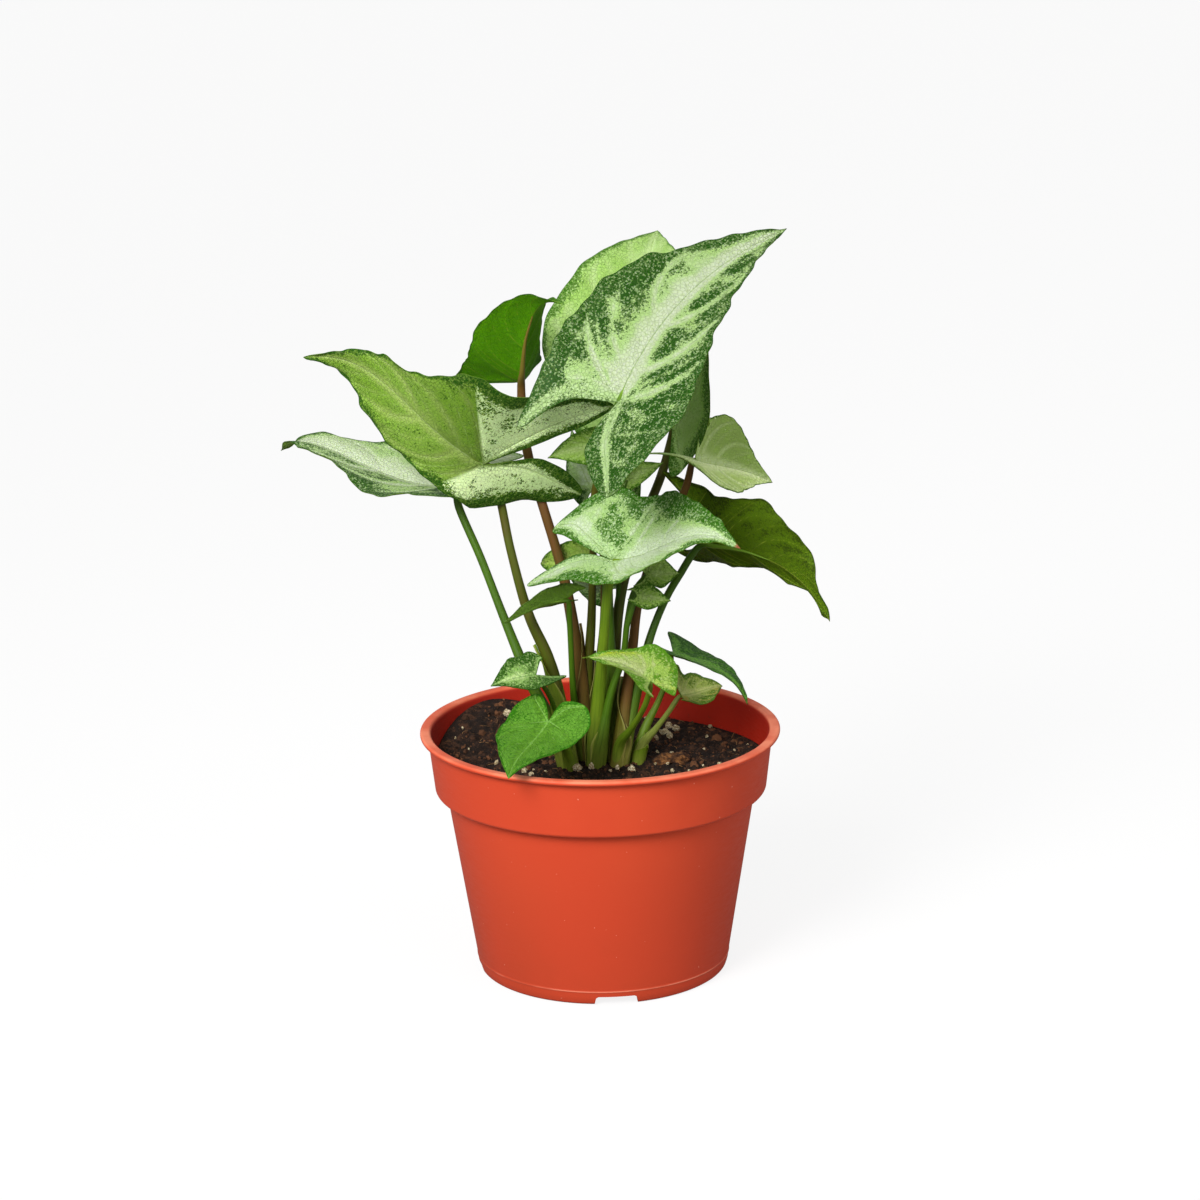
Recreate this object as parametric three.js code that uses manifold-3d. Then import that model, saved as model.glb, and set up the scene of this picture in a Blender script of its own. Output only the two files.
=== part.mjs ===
// Arrowhead plant (Syngonium) in its six-inch nursery pot: pot, soil, leaf blades and the shoots that carry them.
// Millimetres, +Z up. The plant's front faces -Y and its left is -X.
import * as THREE from "three";
import { mergeVertices } from "three/addons/utils/BufferGeometryUtils.js";
import Module from "manifold-3d";

const wasm = await Module();
wasm.setup();

// ---------- driving dimensions ----------

const pot = {
  lipRadius: 76, // a nursery pot sold as six inches
  height: 105,
  wall: 1.2,
  lipHeight: 4.5,
  collarTopRadius: 72.4,
  collarFootRadius: 70.1,
  collarFootHeight: 79,
  bodyTopRadius: 65.4,
  bodyFootRadius: 53.6,
  footRingRadius: 51.5,
  footRingWidth: 2.6,
  floorUnderside: 4,
  notchCount: 4,
  notchWidth: 18.6,
  notchTurn: 5.7, // degrees to the right of the front
  drainCount: 6,
  drainRadius: 5,
  drainCircle: 36,
  sides: 44,
};

const soil = {
  clearance: 0.35,
  middle: 90, // height of the surface at the stalks
  rim: [91, 89, 88, 102, 92, 91, 90, 90], // height at the wall, every 45 degrees from the right to the back
  lumpHeight: 1.3,
  lumpLength: 13,
  rings: 8,
  grainCount: 10,
  grainRadius: 2.1,
};

const blade = { thickness: 0.8 };
const stalkGap = 0.3; // between a stalk and its blade, and around a foot in the soil
const footDepth = 14; // how far a shoot's foot stands in the soil

const colours = {
  pot: 0xc8462a,
  soil: 0x35251c,
  pale: 0xb9d9a0,
  green: 0x6fa53c,
  fresh: 0x5aa832,
  under: 0x4f8a12,
  deep: 0x2f6b2a,
  lime: 0xc6d67c,
  stalk: 0x6f9a33,
  brownStalk: 0x7a5a32,
};

// ---------- leaves ----------

// base: where the stalk meets the blade. tip: the apex. face: the way the upper side looks.
// Pairs are the left and the right side, seen from above with the tip away from the viewer.
// half: half widths. full: how full the margin stays towards the tip. lobe: lengths of the basal lobes.
// spread: angle of a lobe's tip from the backward line. sinus: angle of a lobe's inner edge.
// fold: how steeply a side rises from the midrib. curl: how much more it turns by its margin.
// lift: height of a lobe's tip over its plane. arch and nod: slope of the midrib over the straight line at the
// base, and under it at the tip. sway: bow of the midrib to the right. twist: turn of the cross-section from
// base to tip. wave: height of the margin's waves, and their count along a side.
// grid: lines of facets along a lobe and along the midrib, and rows from the vein to the margin.
const leaves = {
  tall: {
    base: [9, -42, 254], tip: [80, 18, 313], face: [-0.18, -0.57, 0.8], colour: "pale", grid: [4, 8, 3],
    half: [35, 34], full: [1, 0.9], lobe: [41, 46], spread: [42, 35], sinus: [60, 2], fold: [17, 15], curl: [0, -6],
    lift: [0, -7], arch: 10, nod: 10, sway: -9, twist: -13, wave: [1.1, 4],
  },
  broad: {
    base: [-46, -20, 224], tip: [-120, 3, 265], face: [-0.43, -0.85, -0.3], colour: "pale", grid: [4, 8, 3],
    half: [21, 36], full: [1.3, 0.6], lobe: [41, 48], spread: [28, 46], sinus: [0, 40], fold: [9, -5], curl: [0, 8],
    lift: [-7, 5], arch: 45, nod: -13, sway: 16, twist: 8, wave: [1.2, 4],
  },
  outer: {
    base: [-60, 16, 207], tip: [-137, 76, 209], face: [-0.1, -0.15, 0.98], colour: "pale", grid: [4, 6, 3],
    half: [32, 25], full: [0.75, 0.9], lobe: [32, 32], spread: [38, 38], sinus: [52, 52], fold: [12, 14],
    curl: [0, 0], lift: [0, 0], arch: -10, nod: 38, sway: -8, twist: -10, wave: [1.3, 4],
  },
  rear: {
    base: [32, 18, 231], tip: [28, 83, 302], face: [-0.4, -0.69, 0.61], colour: "lime", grid: [4, 7, 3],
    half: [43, 37], full: [1.35, 1.25], lobe: [38, 20], spread: [38, 34], sinus: [52, 52], fold: [30, 38],
    curl: [0, 0], lift: [0, 6], arch: 22, nod: 42, sway: 1, twist: -13, wave: [1.2, 4],
  },
  upright: {
    base: [-31, 15, 251], tip: [-13, -20, 290], face: [-0.23, 0.68, 0.7], colour: "under", grid: [3, 6, 3],
    half: [16, 23], full: [1, 1.1], lobe: [23, 30], spread: [38, 53], sinus: [52, 52], fold: [45, 24], curl: [0, 0],
    lift: [0, 2], arch: -6, nod: 50, sway: 4, twist: 8, wave: [0.5, 3],
  },
  side: {
    base: [42, -8, 218], tip: [72, 22, 207], face: [0.63, -0.39, 0.68], colour: "green", grid: [3, 6, 3],
    half: [19, 23], full: [1.35, 0.8], lobe: [13, 30], spread: [34, 8], sinus: [52, 50], fold: [36, 30], curl: [0, 0],
    lift: [0, -2], arch: -10, nod: 4, sway: -4, twist: -18, wave: [1.4, 3],
  },
  hanging: {
    base: [44, 8, 182], tip: [95, -30, 158], face: [0.67, 0.67, 0.34], colour: "under", grid: [4, 6, 3],
    half: [21, 24], full: [1, 1.2], lobe: [28, 34], spread: [40, 38], sinus: [52, 52], fold: [33, 15], curl: [0, 0],
    lift: [0, 4], arch: 4, nod: 24, sway: 9, twist: 4, wave: [1.2, 4],
  },
  front: {
    base: [6, -32, 186], tip: [57, -67, 199], face: [-0.39, -0.24, 0.89], colour: "pale", grid: [4, 7, 3],
    half: [32, 17], full: [1.1, 1.15], lobe: [36, 36], spread: [24, 33], sinus: [24, 2], fold: [34, -2],
    curl: [-5, 0], lift: [-6, 0], arch: -14, nod: 38, sway: -4, twist: 4, wave: [0.9, 4],
  },
  heart: {
    base: [-21, -46, 122], tip: [-37, -82, 109], face: [-0.14, -0.26, 0.95], colour: "fresh", grid: [3, 5, 2],
    half: [17, 15], full: [0.95, 1.1], lobe: [18, 15], spread: [37, 46], sinus: [18, 36], fold: [-6, 15],
    curl: [0, 0], lift: [2, 0], arch: -18, nod: 12, sway: 2, twist: 0, wave: [0.5, 2],
  },
  lime: {
    base: [22, -42, 133], tip: [-7, -30, 144], face: [-0.1, -0.4, 0.9], colour: "lime", grid: [3, 5, 2],
    half: [12, 16], full: [0.9, 1.15], lobe: [16, 10], spread: [52, 32], sinus: [52, 52], fold: [27, 12],
    curl: [0, 0], lift: [0, -1], arch: 11, nod: 7, sway: 3, twist: -8, wave: [0.8, 3],
  },
  drip: {
    base: [31, -2, 138], tip: [61, -34, 124], face: [0.36, -0.08, 0.93], colour: "deep", grid: [3, 5, 2],
    half: [15, 14], full: [0.9, 1], lobe: [20, 10], spread: [40, 46], sinus: [52, 60], fold: [8, 4], curl: [0, 0],
    lift: [0, 0], arch: 4, nod: 34, sway: -1, twist: 7, wave: [0.4, 3],
  },
  paleLow: {
    base: [34, -12, 122], tip: [52, 7, 120], face: [0.51, -0.4, 0.76], colour: "green", grid: [3, 4, 2],
    half: [9, 8], full: [1.25, 1.2], lobe: [11, 8], spread: [55, 36], sinus: [55, 52], fold: [32, 28], curl: [0, 0],
    lift: [1, 0], arch: -16, nod: 10, sway: 0, twist: 0, wave: [0.6, 2],
  },
  splash: {
    base: [-26, -30, 137], tip: [-44, -42, 138], face: [-0.1, -0.62, 0.78], colour: "deep", grid: [3, 4, 2],
    half: [9, 10], full: [1.5, 1.6], lobe: [14, 10], spread: [12, 50], sinus: [14, 52], fold: [14, 16], curl: [0, 0],
    lift: [0, 1], arch: 10, nod: 16, sway: 0, twist: 0, wave: [0.4, 2],
  },
  wing: {
    base: [-13, -14, 165], tip: [-39, -32, 160], face: [-0.43, 0.59, 0.69], colour: "under", grid: [3, 4, 2],
    half: [10, 9], full: [0.9, 1], lobe: [12, 12], spread: [38, 38], sinus: [52, 52], fold: [15, 22], curl: [0, 0],
    lift: [0, 0], arch: 14, nod: 2, sway: 0, twist: 0, wave: [0.5, 2],
  },
  olive: {
    base: [-1, 9, 177], tip: [-24, 18, 172], face: [-0.38, -0.9, 0.2], colour: "green", grid: [3, 4, 2],
    half: [9, 8], full: [1.1, 1.15], lobe: [10, 10], spread: [38, 38], sinus: [52, 52], fold: [11, 10], curl: [0, 0],
    lift: [0, 0], arch: 14, nod: 60, sway: 0, twist: 0, wave: [0.5, 2],
  },
  tuckHigh: {
    base: [20, -12, 174], tip: [34, -10, 174], face: [0.27, -0.79, 0.55], colour: "green", grid: [2, 4, 2],
    half: [6, 5], full: [1, 1], lobe: [7, 7], spread: [38, 38], sinus: [52, 52], fold: [12, 12], curl: [0, 0],
    lift: [0, 0], arch: 13, nod: 15, sway: 0, twist: 0, wave: [0.3, 2],
  },
  tuckLow: {
    base: [16, -19, 167], tip: [30, -20, 165], face: [0.2, -0.9, 0.38], colour: "green", grid: [2, 4, 2],
    half: [5, 5], full: [1, 1], lobe: [6, 6], spread: [38, 38], sinus: [52, 52], fold: [12, 12], curl: [0, 0],
    lift: [0, 0], arch: 12, nod: 16, sway: 0, twist: 0, wave: [0.3, 2],
  },
  shade: {
    base: [3, -4, 227], tip: [-20, -6, 223], face: [0.1, -0.8, 0.6], colour: "green", grid: [3, 4, 2],
    half: [9, 9], full: [1, 1], lobe: [10, 10], spread: [38, 38], sinus: [52, 52], fold: [12, 12], curl: [0, 0],
    lift: [0, 0], arch: 15, nod: 30, sway: 0, twist: 0, wave: [0.5, 2],
  },
  ghost: {
    base: [-2, 18, 203], tip: [-10, 24, 228], face: [-0.5, -0.8, 0.2], colour: "pale", grid: [3, 4, 2],
    half: [9, 8], full: [1, 1], lobe: [10, 10], spread: [38, 38], sinus: [52, 52], fold: [12, 12], curl: [0, 0],
    lift: [0, 0], arch: 15, nod: 20, sway: 0, twist: 0, wave: [0.5, 2],
  },
  chip: {
    base: [13, 2, 211], tip: [28, 4, 218], face: [-0.3, -0.8, 0.5], colour: "green", grid: [2, 4, 2],
    half: [6, 5], full: [1, 1], lobe: [7, 7], spread: [38, 38], sinus: [52, 52], fold: [12, 12], curl: [0, 0],
    lift: [0, 0], arch: 12, nod: 16, sway: 0, twist: 0, wave: [0.3, 2],
  },
  hidden: {
    base: [3, 20, 158], tip: [-12, 26, 163], face: [-0.2, -0.8, 0.6], colour: "pale", grid: [2, 4, 2],
    half: [7, 7], full: [1, 1], lobe: [8, 8], spread: [38, 38], sinus: [52, 52], fold: [12, 12], curl: [0, 0],
    lift: [0, 0], arch: 12, nod: 16, sway: 0, twist: 0, wave: [0.3, 2],
  },
};

// ---------- shoots ----------

// Each shoot stands in the soil on one foot. A stalk runs from the foot through its points to its own blade,
// and narrows from its sheath to its top. A rolled new leaf ends in a point.
const shoots = {
  left: {
    foot: [-12.3, -8], radius: 4.6, colour: "stalk",
    stalks: {
      outer: { through: [[-18, -7, 104], [-29, -5, 127], [-39, 2, 151], [-49, 9, 177], [-58, 15, 198]], radii: [2.8, 1.7] },
      broad: {
        through: [[-17, -9, 115], [-21, -9, 137], [-29, -9, 157], [-36, -6, 184], [-40, -3, 205], [-43, -11, 218]],
        radii: [3, 1.8],
      },
      splash: { through: [[-14, -11, 103], [-18, -19, 117], [-22, -26, 129]], radii: [1.8, 1] },
      heart: { through: [[-14, -16, 99], [-18, -34, 112]], radii: [1.8, 1.1] },
      spear: { through: [[-15, -7, 117], [-18, -5, 133], [-22, -4, 144]], radii: [2.4, 0.3] },
    },
  },
  back: {
    foot: [-6, 2], radius: 4.4, colour: "brownStalk",
    stalks: {
      upright: {
        through: [[-7, 1, 103], [-8, 1, 125], [-11, 2, 151], [-15, 3, 173], [-22, 6, 198], [-27, 9, 215], [-30, 12, 231]],
        radii: [3, 2],
      },
      wing: { through: [[-9, 0, 101], [-11, -6, 123], [-12, -11, 153]], radii: [2, 1.2] },
      shade: { through: [[-6, 2, 103], [-5, 3, 125], [-3, 4, 150], [-2, 3, 176], [-1, 0, 205]], radii: [2.6, 1.5] },
      olive: { through: [[-5, 3, 125], [-3, 5, 150], [-2, 8, 166]], radii: [2, 1.2] },
      ghost: { through: [[-4, 3, 100], [-1, 8, 123], [2, 15, 148], [2, 22, 176]], radii: [2, 1.3] },
      hidden: { through: [[-3, 4, 104], [0, 10, 127], [2, 16, 147]], radii: [1.8, 1] },
    },
  },
  front: {
    foot: [-2.5, -8], radius: 4.4, colour: "stalk",
    stalks: {
      front: { through: [[-2, -9, 103], [0, -12, 125], [2, -18, 148], [4, -25, 171]], radii: [3.4, 2.1] },
      tuckHigh: { through: [[1, -12, 105], [5, -12, 124], [10, -12, 139], [12, -12, 154], [15, -12, 167]], radii: [2.2, 1.3] },
      tuckLow: { through: [[1, -12, 105], [5, -13, 124], [10, -14, 139], [12, -17, 154]], radii: [2, 1.1] },
    },
  },
  tall: {
    foot: [4.6, 1], radius: 4.2, colour: "stalk",
    stalks: {
      tall: {
        through: [[5, 0, 101], [5, -3, 126], [4, -3, 154], [4, -4, 182], [5, -8, 209], [7, -24, 238]],
        radii: [2.8, 2],
      },
      rear: { through: [[6, 1, 116], [7, 2, 142], [10, 5, 163], [18, 12, 188], [28, 20, 211]], radii: [2.8, 1.9] },
      chip: { through: [[6, 1, 116], [8, 3, 151], [9, 4, 172], [10, 4, 194]], radii: [1.8, 1.1] },
    },
  },
  right: {
    foot: [7, -9], radius: 4.2, colour: "brownStalk",
    stalks: {
      side: { through: [[11, -6, 118], [14, -5, 140], [17, -4, 161], [25, -4, 186], [37, -6, 210]], radii: [2.6, 1.6] },
      hanging: { through: [[13, -5, 111], [18, -3, 131], [22, 0, 145], [28, 3, 159], [34, 5, 169]], radii: [2.8, 1.6] },
      lime: { through: [[8, -11, 100], [13, -20, 110], [19, -36, 126]], radii: [2, 1.2] },
    },
  },
  low: {
    foot: [14.5, -4], radius: 3.2, colour: "stalk",
    stalks: {
      drip: { through: [[18, -2, 102], [25, 1, 116], [30, 2, 129]], radii: [2, 1.2] },
      paleLow: { through: [[18, -6, 99], [23, -9, 106], [29, -12, 115]], radii: [2.2, 1.1] },
    },
  },
};

// ---------- solids ----------

function solidOf(geometry) {
  const bare = geometry.clone();
  bare.deleteAttribute("normal");
  bare.deleteAttribute("uv");
  const merged = mergeVertices(bare, 1e-4);
  const triVerts = Uint32Array.from(merged.index.array);
  const vertProperties = Float32Array.from(merged.attributes.position.array);
  const solid = new wasm.Manifold(new wasm.Mesh({ numProp: 3, vertProperties, triVerts }));
  if (solid.volume() > 0) return solid;
  for (let i = 0; i < triVerts.length; i += 3) {
    [triVerts[i], triVerts[i + 1]] = [triVerts[i + 1], triVerts[i]];
  }
  return new wasm.Manifold(new wasm.Mesh({ numProp: 3, vertProperties, triVerts }));
}

function geometryOf(solid) {
  const { numProp, vertProperties, triVerts } = solid.getMesh();
  const positions = [];
  for (let i = 0; i < vertProperties.length; i += numProp) {
    positions.push(vertProperties[i], vertProperties[i + 1], vertProperties[i + 2]);
  }
  return facetGeometry(positions, Array.from(triVerts));
}

function facetGeometry(positions, triangles) {
  const geometry = new THREE.BufferGeometry();
  geometry.setAttribute("position", new THREE.Float32BufferAttribute(positions, 3));
  geometry.setIndex(triangles);
  geometry.computeVertexNormals();
  return geometry;
}

// ---------- leaf blades ----------

const degrees = (angle) => THREE.MathUtils.degToRad(angle);

// One side's margin in the flat leaf, from the stalk round the lobe to the apex: x is away from the midrib.
function marginCurve(leaf, length, side) {
  const half = leaf.half[side];
  const full = leaf.full[side];
  const lobe = leaf.lobe[side];
  const spread = degrees(leaf.spread[side]);
  const inner = degrees(leaf.sinus[side]);
  const lobeTip = new THREE.Vector2(lobe * Math.sin(spread), -lobe * Math.cos(spread));
  const widest = new THREE.Vector2(half, 0.17 * length);
  return new THREE.SplineCurve([
    new THREE.Vector2(0, 0),
    new THREE.Vector2(0.5 * lobe * Math.sin(inner), -0.5 * lobe * Math.cos(inner)),
    lobeTip,
    lobeTip.clone().lerp(widest, 0.5).add(new THREE.Vector2(0.07 * half, 0)),
    widest,
    new THREE.Vector2(0.82 * half * full, 0.41 * length),
    new THREE.Vector2(0.52 * half * full, 0.65 * length),
    new THREE.Vector2(0.2 * half * full, 0.86 * length),
    new THREE.Vector2(0, length),
  ]);
}

// Leaf frame: along the straight line from base to tip, out of the upper side, and to the right.
function leafFrame(leaf) {
  const base = new THREE.Vector3(...leaf.base);
  const along = new THREE.Vector3(...leaf.tip).sub(base);
  const length = along.length();
  along.normalize();
  const up = new THREE.Vector3(...leaf.face);
  up.addScaledVector(along, -up.dot(along)).normalize();
  const right = new THREE.Vector3().crossVectors(along, up);
  return { base, along, up, right, length };
}

const lobeTipAt = 0.25; // where on the margin curve the lobe's tip lies
const widestAt = 0.5;

// The lines of one side in the flat leaf, each from its vein to the margin: out along the lobe on its inner
// side, back on its outer side, then up the midrib. at: where on the margin curve a line ends.
function veinLines(leaf, length, side) {
  const margin = marginCurve(leaf, length, side);
  const [lobeLines, midribLines] = leaf.grid;
  const onLobe = (share) => {
    const inner = margin.getPoint(lobeTipAt * share);
    const outer = margin.getPoint(widestAt - lobeTipAt * share);
    return inner.lerp(outer, 0.5 * share);
  };
  const lines = [];
  for (let j = 0; j <= 2 * lobeLines; j++) {
    const share = 1 - Math.abs(1 - j / lobeLines);
    const at = (lobeTipAt * j) / lobeLines;
    lines.push({ at, start: onLobe(share), end: margin.getPoint(at) });
  }
  for (let j = 1; j <= midribLines; j++) {
    const share = j / midribLines;
    const at = THREE.MathUtils.lerp(widestAt, 1, share);
    lines.push({ at, start: new THREE.Vector2(0, share ** 1.4 * length), end: margin.getPoint(at) });
  }
  return lines;
}

// Bends a point of the flat leaf (x from the midrib on its side, y along it) into place.
function bend(leaf, frame, side, { x, y }, waved) {
  const sign = side === 0 ? -1 : 1;
  const half = leaf.half[side];
  const t = y / frame.length;
  const archSlope = Math.tan(degrees(leaf.arch));
  const nodSlope = Math.tan(degrees(leaf.nod));
  const inside = Math.max(t, 0);
  const rise = archSlope * (t < 0 ? t : t * (1 - t) ** 2) + nodSlope * inside ** 2 * (1 - inside);
  const slope = t < 0 ? archSlope
    : archSlope * (1 - t) * (1 - 3 * t) + nodSlope * t * (2 - 3 * t);
  const bow = leaf.sway * 4 * inside * (1 - inside);
  const fold = degrees(leaf.fold[side]);
  const curl = degrees(leaf.curl[side]);
  const share = x / half;
  const turned = fold + curl * share;
  const flat = Math.abs(curl) < 1e-3;
  const out = flat ? x * Math.cos(fold) : (half / curl) * (Math.sin(turned) - Math.sin(fold));
  let height = flat ? x * Math.sin(fold) : (half / curl) * (Math.cos(fold) - Math.cos(turned));
  const lobeShare = Math.min(Math.max(-y / leaf.lobe[side], 0), 1);
  height += leaf.lift[side] * lobeShare ** 1.5;
  height += waved;
  const twist = degrees(leaf.twist) * t;
  const tilt = Math.atan(slope);
  const normal = frame.up.clone().multiplyScalar(Math.cos(tilt)).addScaledVector(frame.along, -Math.sin(tilt));
  const across = frame.right.clone().multiplyScalar(Math.cos(twist)).addScaledVector(normal, Math.sin(twist));
  normal.multiplyScalar(Math.cos(twist)).addScaledVector(frame.right, -Math.sin(twist));
  return frame.base.clone()
    .addScaledVector(frame.along, y)
    .addScaledVector(frame.up, rise * frame.length)
    .addScaledVector(frame.right, bow)
    .addScaledVector(across, sign * out)
    .addScaledVector(normal, height);
}

// The blade's middle surface, with its facets running along the side veins.
function bladeSurface(leaf) {
  const frame = leafFrame(leaf);
  const rows = leaf.grid[2];
  const [waveHeight, waveCount] = leaf.wave;
  const points = [];
  const triangles = [];
  const places = new Map();
  const add = (point) => {
    const key = point.toArray().map((value) => value.toFixed(4)).join();
    if (!places.has(key)) places.set(key, points.push(point) - 1);
    return places.get(key);
  };
  for (const side of [0, 1]) {
    const columns = veinLines(leaf, frame.length, side).map(({ at, start, end }) => {
      const wave = waveHeight * Math.sin(2 * Math.PI * waveCount * at + 1.7 * side + leaf.half[0]);
      const width = Math.min(start.distanceTo(end) / (0.4 * leaf.half[side]), 1);
      return Array.from({ length: rows + 1 }, (_, k) => {
        const share = k / rows;
        return add(bend(leaf, frame, side, start.clone().lerp(end, share), wave * width * share ** 2));
      });
    });
    for (let j = 0; j < columns.length - 1; j++) {
      for (let k = 0; k < rows; k++) {
        const [a, b, c, d] = [columns[j][k], columns[j][k + 1], columns[j + 1][k + 1], columns[j + 1][k]];
        for (const triangle of [[a, b, c], [a, c, d]]) {
          if (new Set(triangle).size < 3) continue;
          triangles.push(side === 0 ? [...triangle].reverse() : triangle);
        }
      }
    }
  }
  return { points, triangles };
}

// A blade of even thickness around the middle surface, with a flat wall along the margin.
function bladeGeometry({ points, triangles }, thickness) {
  const normals = points.map(() => new THREE.Vector3());
  for (const [a, b, c] of triangles) {
    const ab = points[b].clone().sub(points[a]);
    const ac = points[c].clone().sub(points[a]);
    const facing = ab.cross(ac);
    for (const corner of [a, b, c]) normals[corner].add(facing);
  }
  const positions = [];
  for (const offset of [thickness / 2, -thickness / 2]) {
    points.forEach((point, i) => {
      positions.push(...point.clone().addScaledVector(normals[i].normalize(), offset));
    });
  }
  const under = points.length;
  const faces = [];
  const edges = new Map();
  for (const [a, b, c] of triangles) {
    faces.push(a, b, c, under + a, under + c, under + b);
    for (const [from, to] of [[a, b], [b, c], [c, a]]) {
      if (edges.has(`${to},${from}`)) edges.delete(`${to},${from}`);
      else edges.set(`${from},${to}`, [from, to]);
    }
  }
  for (const [from, to] of edges.values()) {
    faces.push(from, under + from, to, to, under + from, under + to);
  }
  return facetGeometry(positions, faces);
}

// ---------- stalks ----------

const footTop = 10; // how far a foot rises over the soil before its stalks part
const stalkSides = 6;
const stalkShort = 1.2; // how far a stalk stops before the middle of its blade

// A round stalk along the points, closed at both ends.
function stalkSolid(points, [footRadius, topRadius]) {
  const curve = new THREE.CatmullRomCurve3(points.map((point) => new THREE.Vector3(...point)), false, "centripetal");
  const steps = Math.round(1.6 * points.length);
  const { normals, binormals } = curve.computeFrenetFrames(steps, false);
  const positions = [];
  const faces = [];
  for (let i = 0; i <= steps; i++) {
    const share = i / steps;
    const centre = curve.getPointAt(share);
    const radius = THREE.MathUtils.lerp(footRadius, topRadius, THREE.MathUtils.smoothstep(share, 0.1, 0.7));
    for (let j = 0; j < stalkSides; j++) {
      const angle = (2 * Math.PI * j) / stalkSides;
      positions.push(...centre.clone()
        .addScaledVector(normals[i], radius * Math.cos(angle))
        .addScaledVector(binormals[i], radius * Math.sin(angle)));
    }
  }
  const ends = [points[0], points.at(-1)].map((point) => positions.push(...point) / 3 - 1);
  for (let j = 0; j < stalkSides; j++) {
    const next = (j + 1) % stalkSides;
    for (let i = 0; i < steps; i++) {
      const [low, high] = [i * stalkSides, (i + 1) * stalkSides];
      faces.push(low + j, low + next, high + next, low + j, high + next, high + j);
    }
    const last = steps * stalkSides;
    faces.push(ends[0], next, j, ends[1], last + j, last + next);
  }
  return solidOf(facetGeometry(positions, faces));
}

function footSolid({ foot, radius }) {
  const bottom = soil.middle - footDepth;
  const shape = new THREE.LatheGeometry([
    new THREE.Vector2(0, bottom),
    new THREE.Vector2(radius, bottom),
    new THREE.Vector2(radius, soil.middle + 0.3 * footTop),
    new THREE.Vector2(0.6 * radius, soil.middle + footTop),
    new THREE.Vector2(0, soil.middle + footTop),
  ], 10);
  shape.rotateX(Math.PI / 2);
  shape.translate(...foot, 0);
  return solidOf(shape);
}

// The point a little before the blade's base, coming from the stalk's last point.
function shortOf(base, last) {
  const end = new THREE.Vector3(...base);
  return end.add(new THREE.Vector3(...last).sub(end).setLength(stalkShort)).toArray();
}

// The stalks of one shoot, joined on its foot and cut back to leave room for their blades.
function shootSolid(shoot, blades) {
  let solid = footSolid(shoot);
  const start = [...shoot.foot, soil.middle - 0.4 * footDepth];
  for (const [name, stalk] of Object.entries(shoot.stalks)) {
    const end = leaves[name] ? [shortOf(leaves[name].base, stalk.through.at(-1))] : [];
    solid = solid.add(stalkSolid([start, ...stalk.through, ...end], stalk.radii));
  }
  for (const name of Object.keys(shoot.stalks)) {
    if (!leaves[name]) continue;
    const room = new THREE.IcosahedronGeometry(1.4 * stalkShort, 0);
    room.translate(...leaves[name].base);
    solid = solid.subtract(solidOf(room));
    for (const thickness of [blade.thickness + 2 * stalkGap, blade.thickness]) {
      solid = solid.subtract(solidOf(bladeGeometry(blades[name], thickness)));
    }
  }
  return solid.decompose().sort((a, b) => b.volume() - a.volume())[0];
}

// ---------- pot ----------

const potInside = pot.wall + soil.clearance;
const bodySlope = (pot.bodyTopRadius - pot.bodyFootRadius) / (pot.collarFootHeight - pot.floorUnderside);
const bodyRadius = (z) => pot.bodyFootRadius + bodySlope * (z - pot.floorUnderside);
const collarBottom = pot.collarFootHeight;
const collarTop = pot.height - pot.lipHeight;
const collarSlope = (pot.collarTopRadius - pot.collarFootRadius) / (collarTop - collarBottom);
const collarRadius = (z) => pot.collarFootRadius + collarSlope * (z - collarBottom);
const stepInside = collarBottom + pot.wall;
const floorTop = pot.floorUnderside + pot.wall;

function lathe(profile, sides) {
  const shape = new THREE.LatheGeometry(profile.map(([r, z]) => new THREE.Vector2(r, z)), sides);
  shape.rotateX(Math.PI / 2);
  return solidOf(shape);
}

function potSolid() {
  const innerFoot = pot.footRingRadius - pot.footRingWidth;
  let solid = lathe([
    [0, pot.floorUnderside],
    [innerFoot, pot.floorUnderside],
    [innerFoot, 0],
    [pot.footRingRadius, 0],
    [pot.footRingRadius + 1.2, 0.8],
    [bodyRadius(3), 3],
    [bodyRadius(collarBottom - 0.6), collarBottom - 0.6],
    [bodyRadius(collarBottom) + 0.6, collarBottom],
    [pot.collarFootRadius - 0.8, collarBottom],
    [pot.collarFootRadius, collarBottom + 0.9],
    [pot.collarTopRadius, collarTop - 0.8],
    [pot.lipRadius - 0.9, collarTop],
    [pot.lipRadius, collarTop + 0.9],
    [pot.lipRadius, pot.height - 0.9],
    [pot.lipRadius - 1, pot.height],
    [pot.collarTopRadius - 0.4, pot.height],
    [pot.collarTopRadius - pot.wall, pot.height - 1.4],
    [collarRadius(stepInside) - pot.wall, stepInside],
    [bodyRadius(stepInside) - pot.wall, stepInside],
    [bodyRadius(floorTop + 2.5) - pot.wall, floorTop + 2.5],
    [bodyRadius(floorTop) - pot.wall - 2, floorTop],
    [0, floorTop],
  ], pot.sides);
  for (let i = 0; i < pot.notchCount; i++) {
    const turn = -Math.PI / 2 + degrees(pot.notchTurn) + (2 * Math.PI * i) / pot.notchCount;
    solid = solid.subtract(notchSolid(turn));
  }
  for (let i = 0; i < pot.drainCount; i++) {
    const turn = (2 * Math.PI * (i + 0.5)) / pot.drainCount;
    const hole = new THREE.CylinderGeometry(pot.drainRadius, pot.drainRadius, 4 * pot.wall, 14);
    hole.rotateX(Math.PI / 2);
    hole.translate(pot.drainCircle * Math.cos(turn), pot.drainCircle * Math.sin(turn), floorTop);
    solid = solid.subtract(solidOf(hole));
  }
  return solid;
}

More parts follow.
